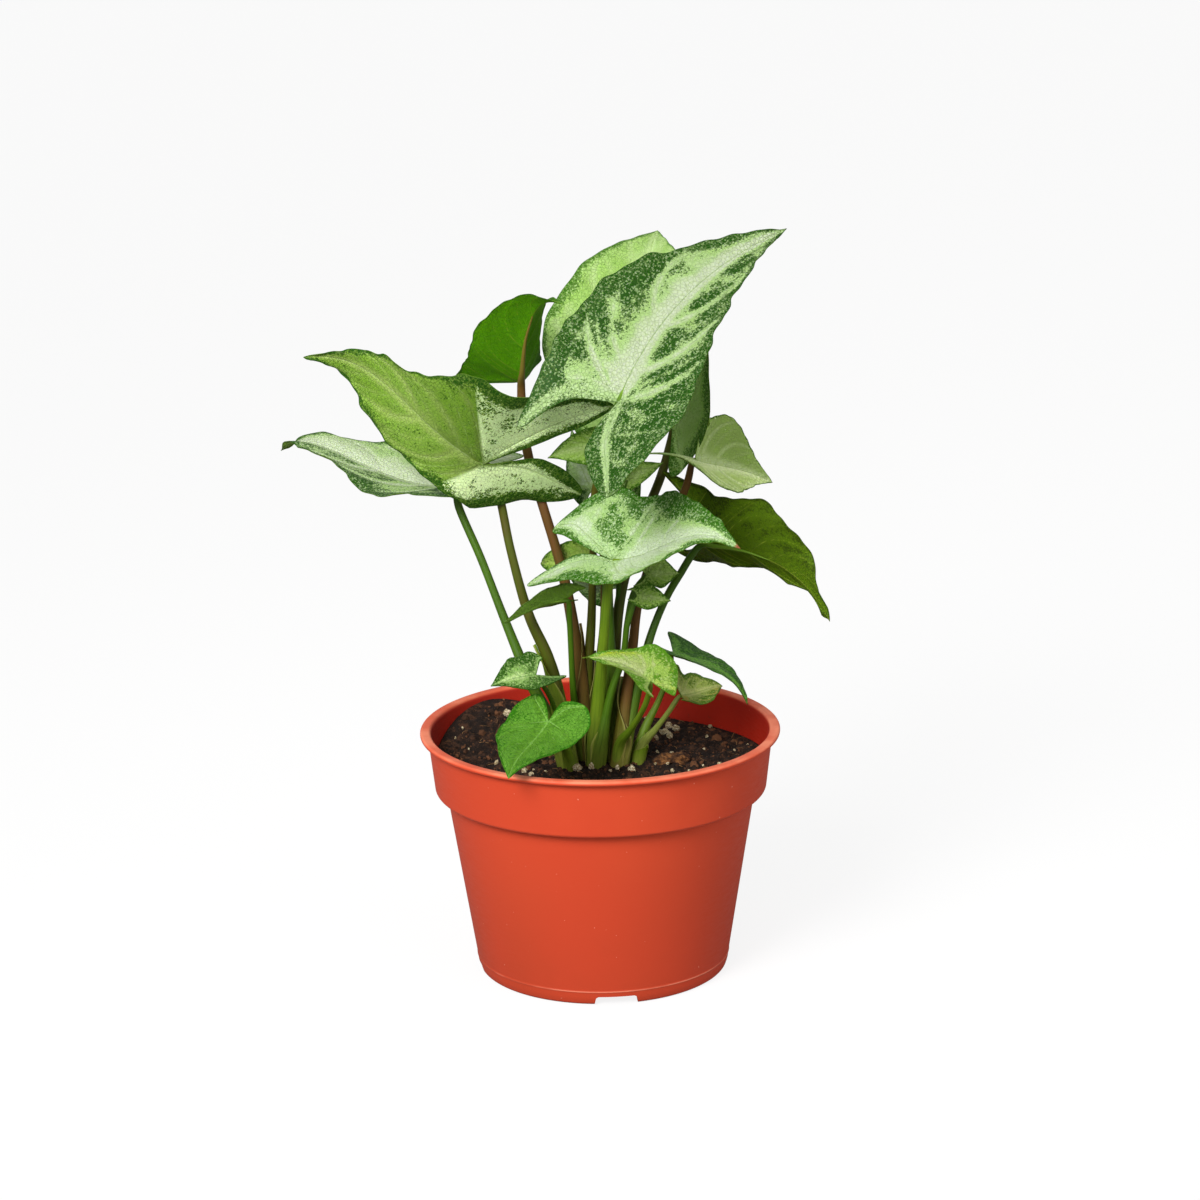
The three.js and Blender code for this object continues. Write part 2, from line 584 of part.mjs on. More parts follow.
// A notch through the foot ring, a little narrower at its top, with rounded upper corners.
function notchSolid(turn) {
  const wide = pot.notchWidth / 2;
  const top = pot.floorUnderside - 0.1;
  const outline = new THREE.Shape([
    [-wide, -1], [wide, -1], [wide - 0.6, top - 1.2], [wide - 1.8, top], [1.8 - wide, top], [0.6 - wide, top - 1.2],
  ].map(([x, y]) => new THREE.Vector2(x, y)));
  const notch = new THREE.ExtrudeGeometry(outline, { depth: 14, bevelEnabled: false, steps: 1 });
  notch.rotateX(Math.PI / 2);
  notch.rotateZ(Math.PI / 2);
  notch.translate(44, 0, 0);
  notch.rotateZ(turn);
  return solidOf(notch);
}

// ---------- soil ----------

// Height of the soil: from the middle to the wall, with lumps.
function soilHeight(angle, share) {
  const place = (((angle / (2 * Math.PI)) % 1) + 1) % 1 * soil.rim.length;
  const low = Math.floor(place);
  const blend = THREE.MathUtils.smoothstep(place - low, 0, 1);
  const wall = THREE.MathUtils.lerp(soil.rim[low % soil.rim.length], soil.rim[(low + 1) % soil.rim.length], blend);
  const reach = collarRadius(wall) * share;
  const [x, y] = [reach * Math.cos(angle), reach * Math.sin(angle)].map((v) => (2 * Math.PI * v) / soil.lumpLength);
  const lump = Math.sin(x + 1.3) * Math.sin(y + 0.7) + 0.5 * Math.sin(2.3 * x - 1.9 * y);
  return THREE.MathUtils.lerp(soil.middle, wall, share ** 1.7) + soil.lumpHeight * lump * share * (1 - share ** 6);
}

function soilSolid() {
  const outside = [
    () => [bodyRadius(floorTop) - potInside - 2.4, floorTop + soil.clearance],
    () => [bodyRadius(floorTop + 3) - potInside, floorTop + 3],
    () => [bodyRadius(stepInside) - potInside, stepInside + soil.clearance],
    () => [collarRadius(stepInside) - potInside, stepInside + soil.clearance],
  ];
  const surface = [];
  for (let i = soil.rings; i > 0; i--) {
    const share = i / soil.rings;
    surface.push((angle) => {
      const z = soilHeight(angle, share);
      return [(collarRadius(soilHeight(angle, 1)) - potInside) * share, z];
    });
  }
  const rows = [...outside, ...surface];
  const positions = [];
  const faces = [];
  for (const row of rows) {
    for (let j = 0; j < pot.sides; j++) {
      const angle = (2 * Math.PI * j) / pot.sides;
      const [r, z] = row(angle);
      positions.push(r * Math.cos(angle), r * Math.sin(angle), z);
    }
  }
  const bottom = positions.push(0, 0, floorTop + soil.clearance) / 3 - 1;
  const top = positions.push(0, 0, soil.middle) / 3 - 1;
  const lastRow = (rows.length - 1) * pot.sides;
  for (let j = 0; j < pot.sides; j++) {
    const next = (j + 1) % pot.sides;
    for (let i = 0; i < rows.length - 1; i++) {
      const [low, high] = [i * pot.sides, (i + 1) * pot.sides];
      faces.push(low + j, low + next, high + next, low + j, high + next, high + j);
    }
    faces.push(bottom, next, j, top, lastRow + j, lastRow + next);
  }
  let solid = solidOf(facetGeometry(positions, faces));
  for (let i = 0; i < soil.grainCount; i++) {
    const share = 0.93 * Math.sqrt((i + 0.5) / soil.grainCount);
    const angle = i * Math.PI * (3 - Math.sqrt(5));
    const radius = soil.grainRadius * (0.75 + 0.25 * Math.sin(5 * i));
    const grain = new THREE.IcosahedronGeometry(radius, 0);
    const reach = share * (pot.collarFootRadius - potInside - soil.grainRadius);
    grain.translate(reach * Math.cos(angle), reach * Math.sin(angle), soilHeight(angle, share) - 0.2 * radius);
    solid = solid.add(solidOf(grain));
  }
  for (const { foot, radius } of Object.values(shoots)) {
    const depth = footDepth + stalkGap;
    const hole = new THREE.CylinderGeometry(radius + stalkGap, radius + stalkGap, 2 * depth, 12);
    hole.rotateX(Math.PI / 2);
    hole.translate(...foot, soil.middle);
    solid = solid.subtract(solidOf(hole));
  }
  return solid.decompose().sort((a, b) => b.volume() - a.volume())[0];
}

// ---------- assembly ----------

const plant = new THREE.Group();

function addPart(name, geometry, colour, roughness) {
  const material = new THREE.MeshStandardMaterial({ color: colours[colour], roughness, metalness: 0 });
  const mesh = new THREE.Mesh(geometry, material);
  mesh.name = name;
  plant.add(mesh);
}

const blades = {};
for (const [name, leaf] of Object.entries(leaves)) blades[name] = bladeSurface(leaf);

addPart("pot", geometryOf(potSolid()), "pot", 0.45);
addPart("soil", geometryOf(soilSolid()), "soil", 0.95);
for (const [name, shoot] of Object.entries(shoots)) {
  addPart(`shoot_${name}`, geometryOf(shootSolid(shoot, blades)), shoot.colour, 0.5);
}
for (const [name, leaf] of Object.entries(leaves)) {
  addPart(`blade_${name}`, bladeGeometry(blades[name], blade.thickness), leaf.colour, 0.5);
}

// The origin is under the middle of the whole outline, on the ground.
const outline = new THREE.Box3().setFromObject(plant);
const middle = outline.getCenter(new THREE.Vector3());
plant.position.set(-middle.x, -middle.y, 0);

export default plant;
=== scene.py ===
import math

import bpy
import numpy as np
from mathutils import Matrix, Vector, noise


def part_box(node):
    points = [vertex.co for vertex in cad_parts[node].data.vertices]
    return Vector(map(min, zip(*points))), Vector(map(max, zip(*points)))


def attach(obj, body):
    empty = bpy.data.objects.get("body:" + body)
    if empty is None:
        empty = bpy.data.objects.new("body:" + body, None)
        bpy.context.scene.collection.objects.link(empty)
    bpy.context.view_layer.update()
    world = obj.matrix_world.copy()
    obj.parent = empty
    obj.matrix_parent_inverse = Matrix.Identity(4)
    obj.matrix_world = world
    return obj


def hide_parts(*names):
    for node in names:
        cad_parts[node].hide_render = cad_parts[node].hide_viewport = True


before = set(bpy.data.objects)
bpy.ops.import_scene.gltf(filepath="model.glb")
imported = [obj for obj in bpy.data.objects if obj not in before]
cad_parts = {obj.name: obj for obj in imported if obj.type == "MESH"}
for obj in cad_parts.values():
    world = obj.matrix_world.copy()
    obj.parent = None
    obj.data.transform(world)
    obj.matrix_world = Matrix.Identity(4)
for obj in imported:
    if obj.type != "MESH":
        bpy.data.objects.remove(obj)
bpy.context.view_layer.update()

potLow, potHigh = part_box("pot")
potAxis = np.array([(potLow[0] + potHigh[0]) / 2, (potLow[1] + potHigh[1]) / 2, 0.0])


def inFrame(points):  # millimetres from the pot's axis, to metres in the frame
    return np.asarray(points, float) * 0.001 + potAxis


def linear(colour):  # sRGB out of 255, to the linear colour a socket takes
    share = np.array(colour, float) / 255
    return (*np.where(share <= 0.04045, share / 12.92, ((share + 0.055) / 1.055) ** 2.4), 1.0)


def smooth(low, high, value):
    share = np.clip((np.asarray(value, float) - low) / (high - low), 0, 1)
    return share * share * (3 - 2 * share)


def newMesh(name, points, faces, materials, faceSlots=None, values=None):
    mesh = bpy.data.meshes.new(name)
    mesh.from_pydata(inFrame(points).tolist(), [], [tuple(face) for face in faces])
    for material in materials:
        mesh.materials.append(material)
    if faceSlots is not None:
        mesh.polygons.foreach_set("material_index", np.asarray(faceSlots, np.int32))
    for key, value in (values or {}).items():
        wide = np.ndim(value) > 1
        layer = mesh.attributes.new(key, "FLOAT_VECTOR" if wide else "FLOAT", "POINT")
        layer.data.foreach_set("vector" if wide else "value", np.asarray(value, np.float32).ravel())
    mesh.shade_smooth()
    mesh.validate()
    return mesh


def addObject(name, data):
    thing = bpy.data.objects.new(name, data)
    bpy.context.scene.collection.objects.link(thing)
    return thing


def addPiece(name, mesh, slot, *nodes):
    piece = addObject(name, mesh)
    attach(piece, "root")
    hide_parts(*nodes)
    return piece


# node helpers: values may be numbers, colours or other sockets

def put(tree, kind, inputs=None, **settings):
    made = tree.nodes.new(kind)
    for key, value in settings.items():
        setattr(made, key, value)
    for key, value in (inputs or {}).items():
        if isinstance(value, bpy.types.NodeSocket):
            tree.links.new(value, made.inputs[key])
        else:
            made.inputs[key].default_value = value
    return made


def maths(tree, operation, *values, clamp=False):
    made = put(tree, "ShaderNodeMath", dict(enumerate(values)), operation=operation, use_clamp=clamp)
    return made.outputs[0]


def times(tree, first, *others):
    for other in others:
        first = maths(tree, "MULTIPLY", first, other)
    return first


def plus(tree, first, second):
    return maths(tree, "ADD", first, second)


def minus(tree, first, second, clamp=False):
    return maths(tree, "SUBTRACT", first, second, clamp=clamp)


def scaled(tree, vector, size):
    return put(tree, "ShaderNodeVectorMath", {0: vector, "Scale": size}, operation="SCALE").outputs[0]


def blend(tree, share, first, second):
    return put(tree, "ShaderNodeMix", {0: share, 6: first, 7: second}, data_type="RGBA").outputs[2]


def between(tree, value, low, high, toLow=0.0, toHigh=1.0):
    made = put(tree, "ShaderNodeMapRange", {0: value, 1: low, 2: high, 3: toLow, 4: toHigh},
               interpolation_type="SMOOTHSTEP")
    return made.outputs[0]


def noiseOf(tree, place, scale, detail=2.0, roughness=0.5):
    made = put(tree, "ShaderNodeTexNoise", {"Vector": place, "Scale": scale, "Detail": detail,
                                            "Roughness": roughness})
    return made.outputs[0]


def attribute(tree, name, output="Fac"):
    return put(tree, "ShaderNodeAttribute", attribute_name=name).outputs[output]


def objectPlace(tree):
    return put(tree, "ShaderNodeTexCoord").outputs["Object"]


def newGroup(name, kind, inputs, outputs):
    tree = bpy.data.node_groups.new(name, kind)
    for label, socketType, value in inputs:
        socket = tree.interface.new_socket(label, in_out="INPUT", socket_type=socketType)
        if value is not None:
            socket.default_value = value
    for label, socketType in outputs:
        tree.interface.new_socket(label, in_out="OUTPUT", socket_type=socketType)
    return tree, tree.nodes.new("NodeGroupInput").outputs, tree.nodes.new("NodeGroupOutput").inputs


def newMaterial(name, roughness, specular):
    material = bpy.data.materials.new(name)
    material.use_nodes = True
    shader = material.node_tree.nodes["Principled BSDF"]
    shader.inputs["Roughness"].default_value = roughness
    shader.inputs["Specular IOR Level"].default_value = specular
    return material, material.node_tree, shader


def bump(tree, shader, height, distance, strength):
    made = put(tree, "ShaderNodeBump", {"Height": height, "Distance": distance, "Strength": strength})
    tree.links.new(made.outputs[0], shader.inputs["Normal"])


cameraPlace = {"place": (0.76, -1493.28, 568.35), "down": 15.28, "roll": -0.84, "lens": 111.0, "sensor": 36,
               "farthest": 100}  # millimetres from the pot's axis, degrees; farthest in metres

cameraData = bpy.data.cameras.new("camera")
cameraData.lens = cameraPlace["lens"]
cameraData.sensor_width = cameraPlace["sensor"]
cameraData.clip_end = cameraPlace["farthest"]
camera = addObject("camera", cameraData)
camera.matrix_world = (Matrix.Translation(inFrame(cameraPlace["place"]))
                       @ Matrix.Rotation(math.radians(90 - cameraPlace["down"]), 4, "X")
                       @ Matrix.Rotation(math.radians(cameraPlace["roll"]), 4, "Z"))
bpy.context.scene.camera = camera
print("camera placed")


# in millimetres and degrees, pairs are left and right; base: where the stalk meets the blade, tip: the apex,
# face: where the upper side looks; half: width, lobe: its length, spread: its turn from the midrib, sinus:
# the turn of its inner margin, fold: each half above flat, curl and lift: of margin and lobe, nod: of the
# apex
leafShapes = {
    "tall": dict(base=(9, -42, 254), tip=(80, 18, 313), face=(-0.18, -0.57, 0.8), half=(35, 34),
                 full=(1, 0.9), lobe=(41, 46), spread=(42, 35), sinus=(60, 2), fold=(17, 15), curl=(0, -6),
                 lift=(0, -7), arch=10, nod=10, sway=-9, twist=-13, wave=(1.1, 4), size=2, ruffle=1.4,
                 crease=9, paleWide=(1.15, 0.7)),
    "broad": dict(base=(-46, -20, 224), tip=(-120, 3, 265), face=(-0.43, -0.85, -0.3), half=(21, 36),
                  full=(1.3, 0.6), lobe=(41, 48), spread=(28, 46), sinus=(0, 40), fold=(9, -5), curl=(0, 8),
                  lift=(-7, 5), arch=45, nod=-13, sway=16, twist=8, wave=(1.2, 4), size=2, ruffle=1.2,
                  paleWide=(0.4, 0.5)),
    "outer": dict(base=(-60, 16, 207), tip=(-137, 76, 209), face=(-0.1, -0.15, 0.98), half=(29, 25),
                  full=(0.75, 0.9), lobe=(32, 32), fold=(12, 14), arch=-10, nod=38, sway=-8, twist=-10,
                  wave=(1.3, 4), size=2, ruffle=1.0, paleWide=(0.4, 1.4)),
    "rear": dict(base=(32, 18, 231), tip=(28, 83, 302), face=(-0.4, -0.69, 0.61), half=(45, 32),
                 full=(1.35, 1.25), lobe=(38, 20), spread=(38, 6), sinus=(52, -14), fold=(30, 38),
                 lift=(0, 6), arch=22, nod=42, sway=1, twist=-13, wave=(0.6, 4), size=2, ruffle=0.5,
                 crease=9, paleWide=(0.7, 0.7), blunt=(0, 1.6)),
    "upright": dict(base=(-31, 15, 251), tip=(-13, -20, 290), face=(-0.23, 0.68, 0.7), half=(16, 23),
                    full=(1, 1.1), lobe=(23, 30), spread=(38, 53), fold=(45, 24), lift=(0, 2), arch=-6,
                    nod=50, sway=4, twist=8, wave=(0.5, 3), size=2, ruffle=0.5, tail=2.6),
    "side": dict(base=(41, -8, 222), tip=(74, 20, 205), face=(0.63, -0.39, 0.68), half=(20, 15),
                 full=(1.33, 1.3), lobe=(17, 38), spread=(98, 14), sinus=(95, 14), fold=(30, 20),
                 lift=(0, -16), arch=-22, nod=-2, sway=-4, twist=-26, wave=(0.8, 3), size=2, ruffle=0.5,
                 crease=6, blunt=(-0.9, -0.5)),
    "hanging": dict(base=(44, 8, 182), tip=(95, -30, 158), face=(0.67, 0.67, 0.34), half=(13, 24),
                    full=(1, 1.2), lobe=(28, 34), spread=(40, 38), fold=(16, 15), lift=(0, 4), arch=4,
                    nod=24, sway=9, twist=4, wave=(1.6, 5), size=2, ruffle=0.6, tail=2),
    "front": dict(base=(6, -32, 186), tip=(57, -67, 199), face=(-0.39, -0.24, 0.89), half=(29, 17),
                  full=(1.08, 1.1), lobe=(36, 36), spread=(26, 27), sinus=(24, -6), fold=(34, -2),
                  curl=(-5, 0), lift=(-6, -6), arch=-14, nod=38, sway=-4, twist=4, wave=(0.6, 4), size=2,
                  ruffle=0.7, crease=26, blunt=(0.9, -0.4), paleWide=(1.5, 1.7)),
    "heart": dict(base=(-21, -46, 122), tip=(-37, -82, 109), face=(-0.14, -0.26, 0.95), half=(17, 16),
                  full=(0.95, 1.1), lobe=(16, 14.5), spread=(56, 42), sinus=(20, 28), fold=(-6, 15),
                  lift=(2, 0), arch=-18, nod=12, sway=2, wave=(0.5, 2), blunt=(0.4, 0.65)),
    "lime": dict(base=(21, -42, 137), tip=(-7, -30, 144), face=(-0.1, -0.4, 0.9), half=(9, 15),
                 full=(1, 0.8), lobe=(14, 11), spread=(66, 8), sinus=(80, -6), fold=(27, 16), lift=(0, -1),
                 arch=11, nod=7, sway=3, twist=-8, wave=(0.8, 3), blunt=(0, 1.6)),
    "drip": dict(base=(31, -2, 138), tip=(61, -34, 124), face=(0.36, -0.08, 0.93), half=(15, 6),
                 full=(0.9, 1), lobe=(20, 6), spread=(40, 46), sinus=(40, 60), fold=(8, 4), arch=4, nod=34,
                 sway=-1, twist=7, wave=(0.4, 3)),
    "paleLow": dict(base=(34, -12, 122), tip=(52, 7, 120), face=(0.51, -0.4, 0.76), half=(9, 9),
                    full=(1.25, 1.2), lobe=(14, 8), spread=(70, 36), sinus=(64, 52), fold=(32, 28),
                    lift=(1, 0), arch=-16, nod=10, wave=(0.6, 2), blunt=(0.3, 0.4)),
    "splash": dict(base=(-26, -30, 137), tip=(-44.5, -42, 136), face=(-0.1, -0.62, 0.78), half=(9.5, 10),
                   full=(1.2, 1.15), lobe=(14, 10), spread=(12, 50), sinus=(14, 52), fold=(14, 16),
                   lift=(0, 1), arch=10, nod=16, wave=(0.4, 2), blunt=(0, 0.8)),
    "wing": dict(base=(-13, -14, 165), tip=(-39, -32, 160), face=(-0.43, 0.59, 0.69), half=(10, 9),
                 full=(1.2, 1.2), lobe=(9, 9), fold=(15, 22), arch=14, nod=2, wave=(0.5, 2)),
    "olive": dict(base=(-1, 9, 177), tip=(-24, 18, 172), face=(-0.38, -0.9, 0.2), half=(9, 8),
                  full=(1.1, 1.15), lobe=(10, 10), fold=(11, 10), arch=14, nod=60, wave=(0.5, 2)),
    "tuckHigh": dict(base=(20, -12, 174), tip=(34, -10, 174), face=(0.27, -0.79, 0.55), half=(6.5, 5.5),
                     full=(1.5, 1.5), lobe=(7, 7), arch=13, nod=15, wave=(0.3, 2)),
    "tuckLow": dict(base=(16, -19, 167), tip=(30, -20, 165), face=(0.2, -0.9, 0.38), half=(5, 5),
                    lobe=(5, 4), full=(1.3, 1.3), spread=(25, 25), arch=12, nod=16, wave=(0.3, 2)),
    "shade": dict(base=(3, -4, 227), tip=(-20, -6, 223), face=(0.1, -0.8, 0.6), half=(9, 9), lobe=(10, 10),
                  arch=15, nod=30, wave=(0.5, 2)),
    "ghost": dict(base=(-2, 18, 203), tip=(-10, 24, 228), face=(-0.5, -0.8, 0.2), half=(9, 8),
                  lobe=(10, 10), arch=15, nod=20, wave=(0.5, 2)),
    "chip": dict(base=(13, 2, 211), tip=(28, 4, 218), face=(-0.3, -0.8, 0.5), half=(6, 5), lobe=(7, 7),
                 arch=12, nod=16, wave=(0.3, 2)),
    "hidden": dict(base=(3, 20, 158), tip=(-12, 26, 163), face=(-0.2, -0.8, 0.6), half=(7, 7), lobe=(8, 8),
                   arch=12, nod=16, wave=(0.3, 2)),
}
plainLeaf = dict(full=(1, 1), spread=(38, 38), sinus=(52, 52), fold=(12, 12), curl=(0, 0), lift=(0, 0),
                 sway=0, twist=0, size=1, ruffle=0.35, crease=2, paleWide=(1, 1), tail=1, blunt=(0, 0))
bladeBuild = {"thickness": 0.55, "edge": 0.3, "groove": 0.3, "ridge": 0.5, "quilt": 0.4, "bow": 0.1,
              "lobeLines": (12, 30), "ribLines": (30, 84), "rows": (14, 30), "sideVeins": (0.0, 0.22, 0.46)}


def spline(points, places):  # even Catmull-Rom curve through the points
    points = np.asarray(points, float)
    last = len(points) - 1
    at = last * np.asarray(places, float)
    low = np.minimum(np.floor(at).astype(int), last)
    share = (at - low)[:, None]
    before, here = points[np.maximum(low - 1, 0)], points[low]
    before = np.where((low == 0)[:, None], here, before)
    after, beyond = points[np.minimum(low + 1, last)], points[np.minimum(low + 2, last)]
    start, end = (after - before) / 2, (beyond - here) / 2
    return ((2 * here - 2 * after + start + end) * share ** 3
            + (3 * after - 3 * here - 2 * start - end) * share ** 2 + start * share + here)


def leafMargin(leaf, length, side):  # flat margin of one side, from the stalk round the lobe to the apex
    half, full, lobe = leaf["half"][side], leaf["full"][side], leaf["lobe"][side]
    spread, inner = math.radians(leaf["spread"][side]), math.radians(leaf["sinus"][side])
    lobeTip = np.array([lobe * math.sin(spread), -lobe * math.cos(spread)])
    widest = np.array([half, 0.17 * length])
    blunt, step = leaf["blunt"][side], widest - lobeTip  # above 0: rounder lobe, below 0: drawn in
    inwards = (0.5 + 0.25 * max(blunt, 0)) * lobe
    outside = (lobeTip + widest) / 2 + 0.25 * blunt * lobe * np.array([step[1], -step[0]]) / np.hypot(*step)
    return [(0, 0), (inwards * math.sin(inner), -inwards * math.cos(inner)), lobeTip,
            outside + (0.07 * half, 0), widest, (0.82 * half * full, 0.41 * length),
            (0.52 * half * full, 0.65 * length), (0.2 * half * full, 0.86 * length), (0, length)]


def leafFrame(leaf):
    base = np.array(leaf["base"], float)
    along = np.array(leaf["tip"], float) - base
    length = np.linalg.norm(along)
    along /= length
    up = np.array(leaf["face"], float)
    up -= along * (up @ along)
    up /= np.linalg.norm(up)
    return base, along, up, np.cross(along, up), length


# place runs 0..1 out along the lobe and back, then 1..2 up the midrib; row runs 0..1 from vein to margin
def flatPlace(leaf, length, side, place, row):
    margin = leafMargin(leaf, length, side)
    place, row = np.broadcast_arrays(np.asarray(place, float), np.asarray(row, float))
    onLobe = 1 - np.abs(1 - 2 * np.minimum(place, 1))
    inner, outer = spline(margin, 0.25 * onLobe), spline(margin, 0.5 - 0.25 * onLobe)
    lobeStart = inner + (outer - inner) * (0.5 * onLobe)[:, None]
    onRib = np.maximum(place - 1, 0)
    start = np.where((place > 1)[:, None], np.stack([0 * onRib, onRib ** 1.4 * length], 1), lobeStart)
    end = spline(margin, place / 2)
    ruffle = leaf["ruffle"] * smooth(0, 0.16, place) * smooth(0, 0.3, 2 - place) * (
        0.5 * np.sin(13.5 * place + leaf["half"][0]) + 0.4 * np.sin(29 * place + 2 * leaf["half"][1] + side)
        + 0.3 * np.sin(61 * place + 3 * leaf["half"][0]))
    across = end - start
    wide = np.hypot(*across.T)
    across *= (1 + ruffle * smooth(2, 16, wide) / np.maximum(wide, 4))[:, None]
    forward = np.stack([-across[:, 1], across[:, 0]], 1)
    sag = bladeBuild["bow"] * smooth(0, 0.25, onRib) * 4 * row * (1 - row)
    return start + across * row[:, None] - forward * sag[:, None], np.hypot(*across.T)


def bend(leaf, frameOf, side, flat, waved):  # from the flat leaf into place
    base, along, up, right, length = frameOf
    x, y = flat.T
    t = y / length
    archSlope, nodSlope = math.tan(math.radians(leaf["arch"])), math.tan(math.radians(leaf["nod"]))
    inside = np.maximum(t, 0)
    rise = archSlope * np.where(t < 0, t, t * (1 - t) ** 2) + nodSlope * inside ** 2 * (1 - inside)
    slope = np.where(t < 0, archSlope, archSlope * (1 - t) * (1 - 3 * t) + nodSlope * t * (2 - 3 * t))
    sway = leaf["sway"] * 4 * inside * (1 - inside)
    fold, curl = math.radians(leaf["fold"][side]), math.radians(leaf["curl"][side])
    half = leaf["half"][side]
    eased = np.sqrt(x * x + leaf["crease"]) - math.sqrt(leaf["crease"])  # rounds the fold along the midrib
    if abs(curl) < 1e-3:
        out, height = x * math.cos(fold), eased * math.sin(fold)
    else:
        out = (half / curl) * (np.sin(fold + curl * x / half) - math.sin(fold))
        height = (half / curl) * (math.cos(fold) - np.cos(fold + curl * eased / half))
    height = height + leaf["lift"][side] * np.clip(-y / leaf["lobe"][side], 0, 1) ** 1.5 + waved
    twist, tilt = np.radians(leaf["twist"]) * t, np.arctan(slope)
    normal = up * np.cos(tilt)[:, None] - along * np.sin(tilt)[:, None]
    across = right * np.cos(twist)[:, None] + normal * np.sin(twist)[:, None]
    normal = normal * np.cos(twist)[:, None] - right * np.sin(twist)[:, None]
    sign = -1 if side == 0 else 1
    return (base + along * y[:, None] + up * (rise * length)[:, None] + right * sway[:, None]
            + across * (sign * out)[:, None] + normal * height[:, None])


def ribNormals(leaf, frameOf, y):  # out of the upper side, along the midrib
    along, up, right, length = frameOf[1:]
    t = np.asarray(y, float) / length
    archSlope, nodSlope = math.tan(math.radians(leaf["arch"])), math.tan(math.radians(leaf["nod"]))
    tilt = np.arctan(archSlope * (1 - t) * (1 - 3 * t) + nodSlope * t * (2 - 3 * t))
    twist = np.radians(leaf["twist"]) * t
    normal = up * np.cos(tilt)[:, None] - along * np.sin(tilt)[:, None]
    return normal * np.cos(twist)[:, None] - right * np.sin(twist)[:, None]


def toLines(points, lines):  # for each point the nearest line: distance, and how far along that line
    best, along = np.full(len(points), 1e9), np.zeros(len(points))
    for line, reach in lines:
        start, step = line[:-1], np.diff(line, axis=0)
        lengthSquared = np.maximum((step ** 2).sum(1), 1e-12)
        offset = points[:, None] - start[None]
        share = np.clip((offset * step).sum(2) / lengthSquared, 0, 1)
        gap = np.hypot(*np.moveaxis(offset - share[..., None] * step, 2, 0))
        nearest = gap.argmin(1)
        rows = np.arange(len(points))
        far = reach[0] + (reach[1] - reach[0]) * (nearest + share[rows, nearest]) / len(start)
        gap = gap[rows, nearest]
        closer = gap < best
        best[closer], along[closer] = gap[closer], far[closer]
    return best, along


def veinsOf(leaf, length, side):  # midrib, lobe vein and side veins of one side; 0..1 says how fine each gets
    steps = np.linspace(0, 1, 24)
    midrib = np.stack([0 * steps, steps * length], 1)
    main = [(midrib, (0, 1))]
    main.append((flatPlace(leaf, length, side, 0.5 * steps, 0 * steps)[0], (0.45, 1)))
    finer, laterals = [], []
    for place in bladeBuild["sideVeins"]:
        line = flatPlace(leaf, length, side, 1 + place + 0.12 * steps ** 3, 0.94 * steps)[0]
        laterals.append((line, (0.3, 1)))
    for place in (0.66, 0.8, 0.3):
        finer.append((flatPlace(leaf, length, side, place + 0 * steps, 0.9 * steps)[0], (0.5, 1)))
    for place in (0.1, 0.34, 0.58, 0.72):
        finer.append((flatPlace(leaf, length, side, 1 + place + 0.05 * steps, 0.9 * steps)[0], (0.6, 1)))
    return main, laterals, finer


# both halves as one sheet, with how far each point is from the veins and the margin
def bladeSheet(leaf, frameOf):
    length, grade = frameOf[4], leaf["size"] - 1
    lobeLines, ribLines, rows = (bladeBuild[key][grade] for key in ("lobeLines", "ribLines", "rows"))
    places = np.concatenate([np.linspace(0, 1, 2 * lobeLines + 1), 1 + np.linspace(0, 1, ribLines + 1)[1:]])
    rowShares = np.append(0.985 * np.linspace(0, 1, rows) ** 1.15, 1.0)
    waveHeight, waveCount = leaf["wave"]
    steps = np.linspace(0, 2, 120)
    points, flats, values, quads = [], [], [], []
    for side in (0, 1):
        place, row = (grid.ravel() for grid in np.meshgrid(places, rowShares, indexing="ij"))
        flat, width = flatPlace(leaf, length, side, place, row)
        phase = 1.7 * side + leaf["half"][0]
        wave = waveHeight * np.sin(math.pi * waveCount * place + phase)
        wave += 0.35 * leaf["ruffle"] * np.sin(math.pi * (2.7 * waveCount + 1) * place + 2 * phase) * row ** 3
        wave *= np.minimum(width / (0.4 * leaf["half"][side]), 1) * row ** 2
        points.append(bend(leaf, frameOf, side, flat, wave))
        flats.append(flat * ((1 if side else -1), 1))
        rim = flatPlace(leaf, length, side, steps, 1 + 0 * steps)[0]
        main, laterals, finer = veinsOf(leaf, length, side)
        values.append(np.stack([*toLines(flat, main), *toLines(flat, laterals), toLines(flat, finer)[0],
                                toLines(flat, [(rim, (0, 1))])[0], place < 1], 1))
        at = side * len(flat) + np.arange(len(flat)).reshape(len(places), -1)
        half = np.stack([at[:-1, :-1], at[:-1, 1:], at[1:, 1:], at[1:, :-1]], 2).reshape(-1, 4)
        quads.append(half if side else half[:, ::-1])
    points, flats, values = np.concatenate(points), np.concatenate(flats), np.concatenate(values)
    _, first, weld = np.unique(np.round(points, 3), axis=0, return_index=True, return_inverse=True)
    faces = []
    for quad in weld.ravel()[np.concatenate(quads)].tolist():
        corners = [corner for i, corner in enumerate(quad) if corner != quad[i - 1]]
        if len(set(corners)) == len(corners) and len(corners) > 2:
            faces.append(corners)
    return points[first], flats[first], values[first].T, faces


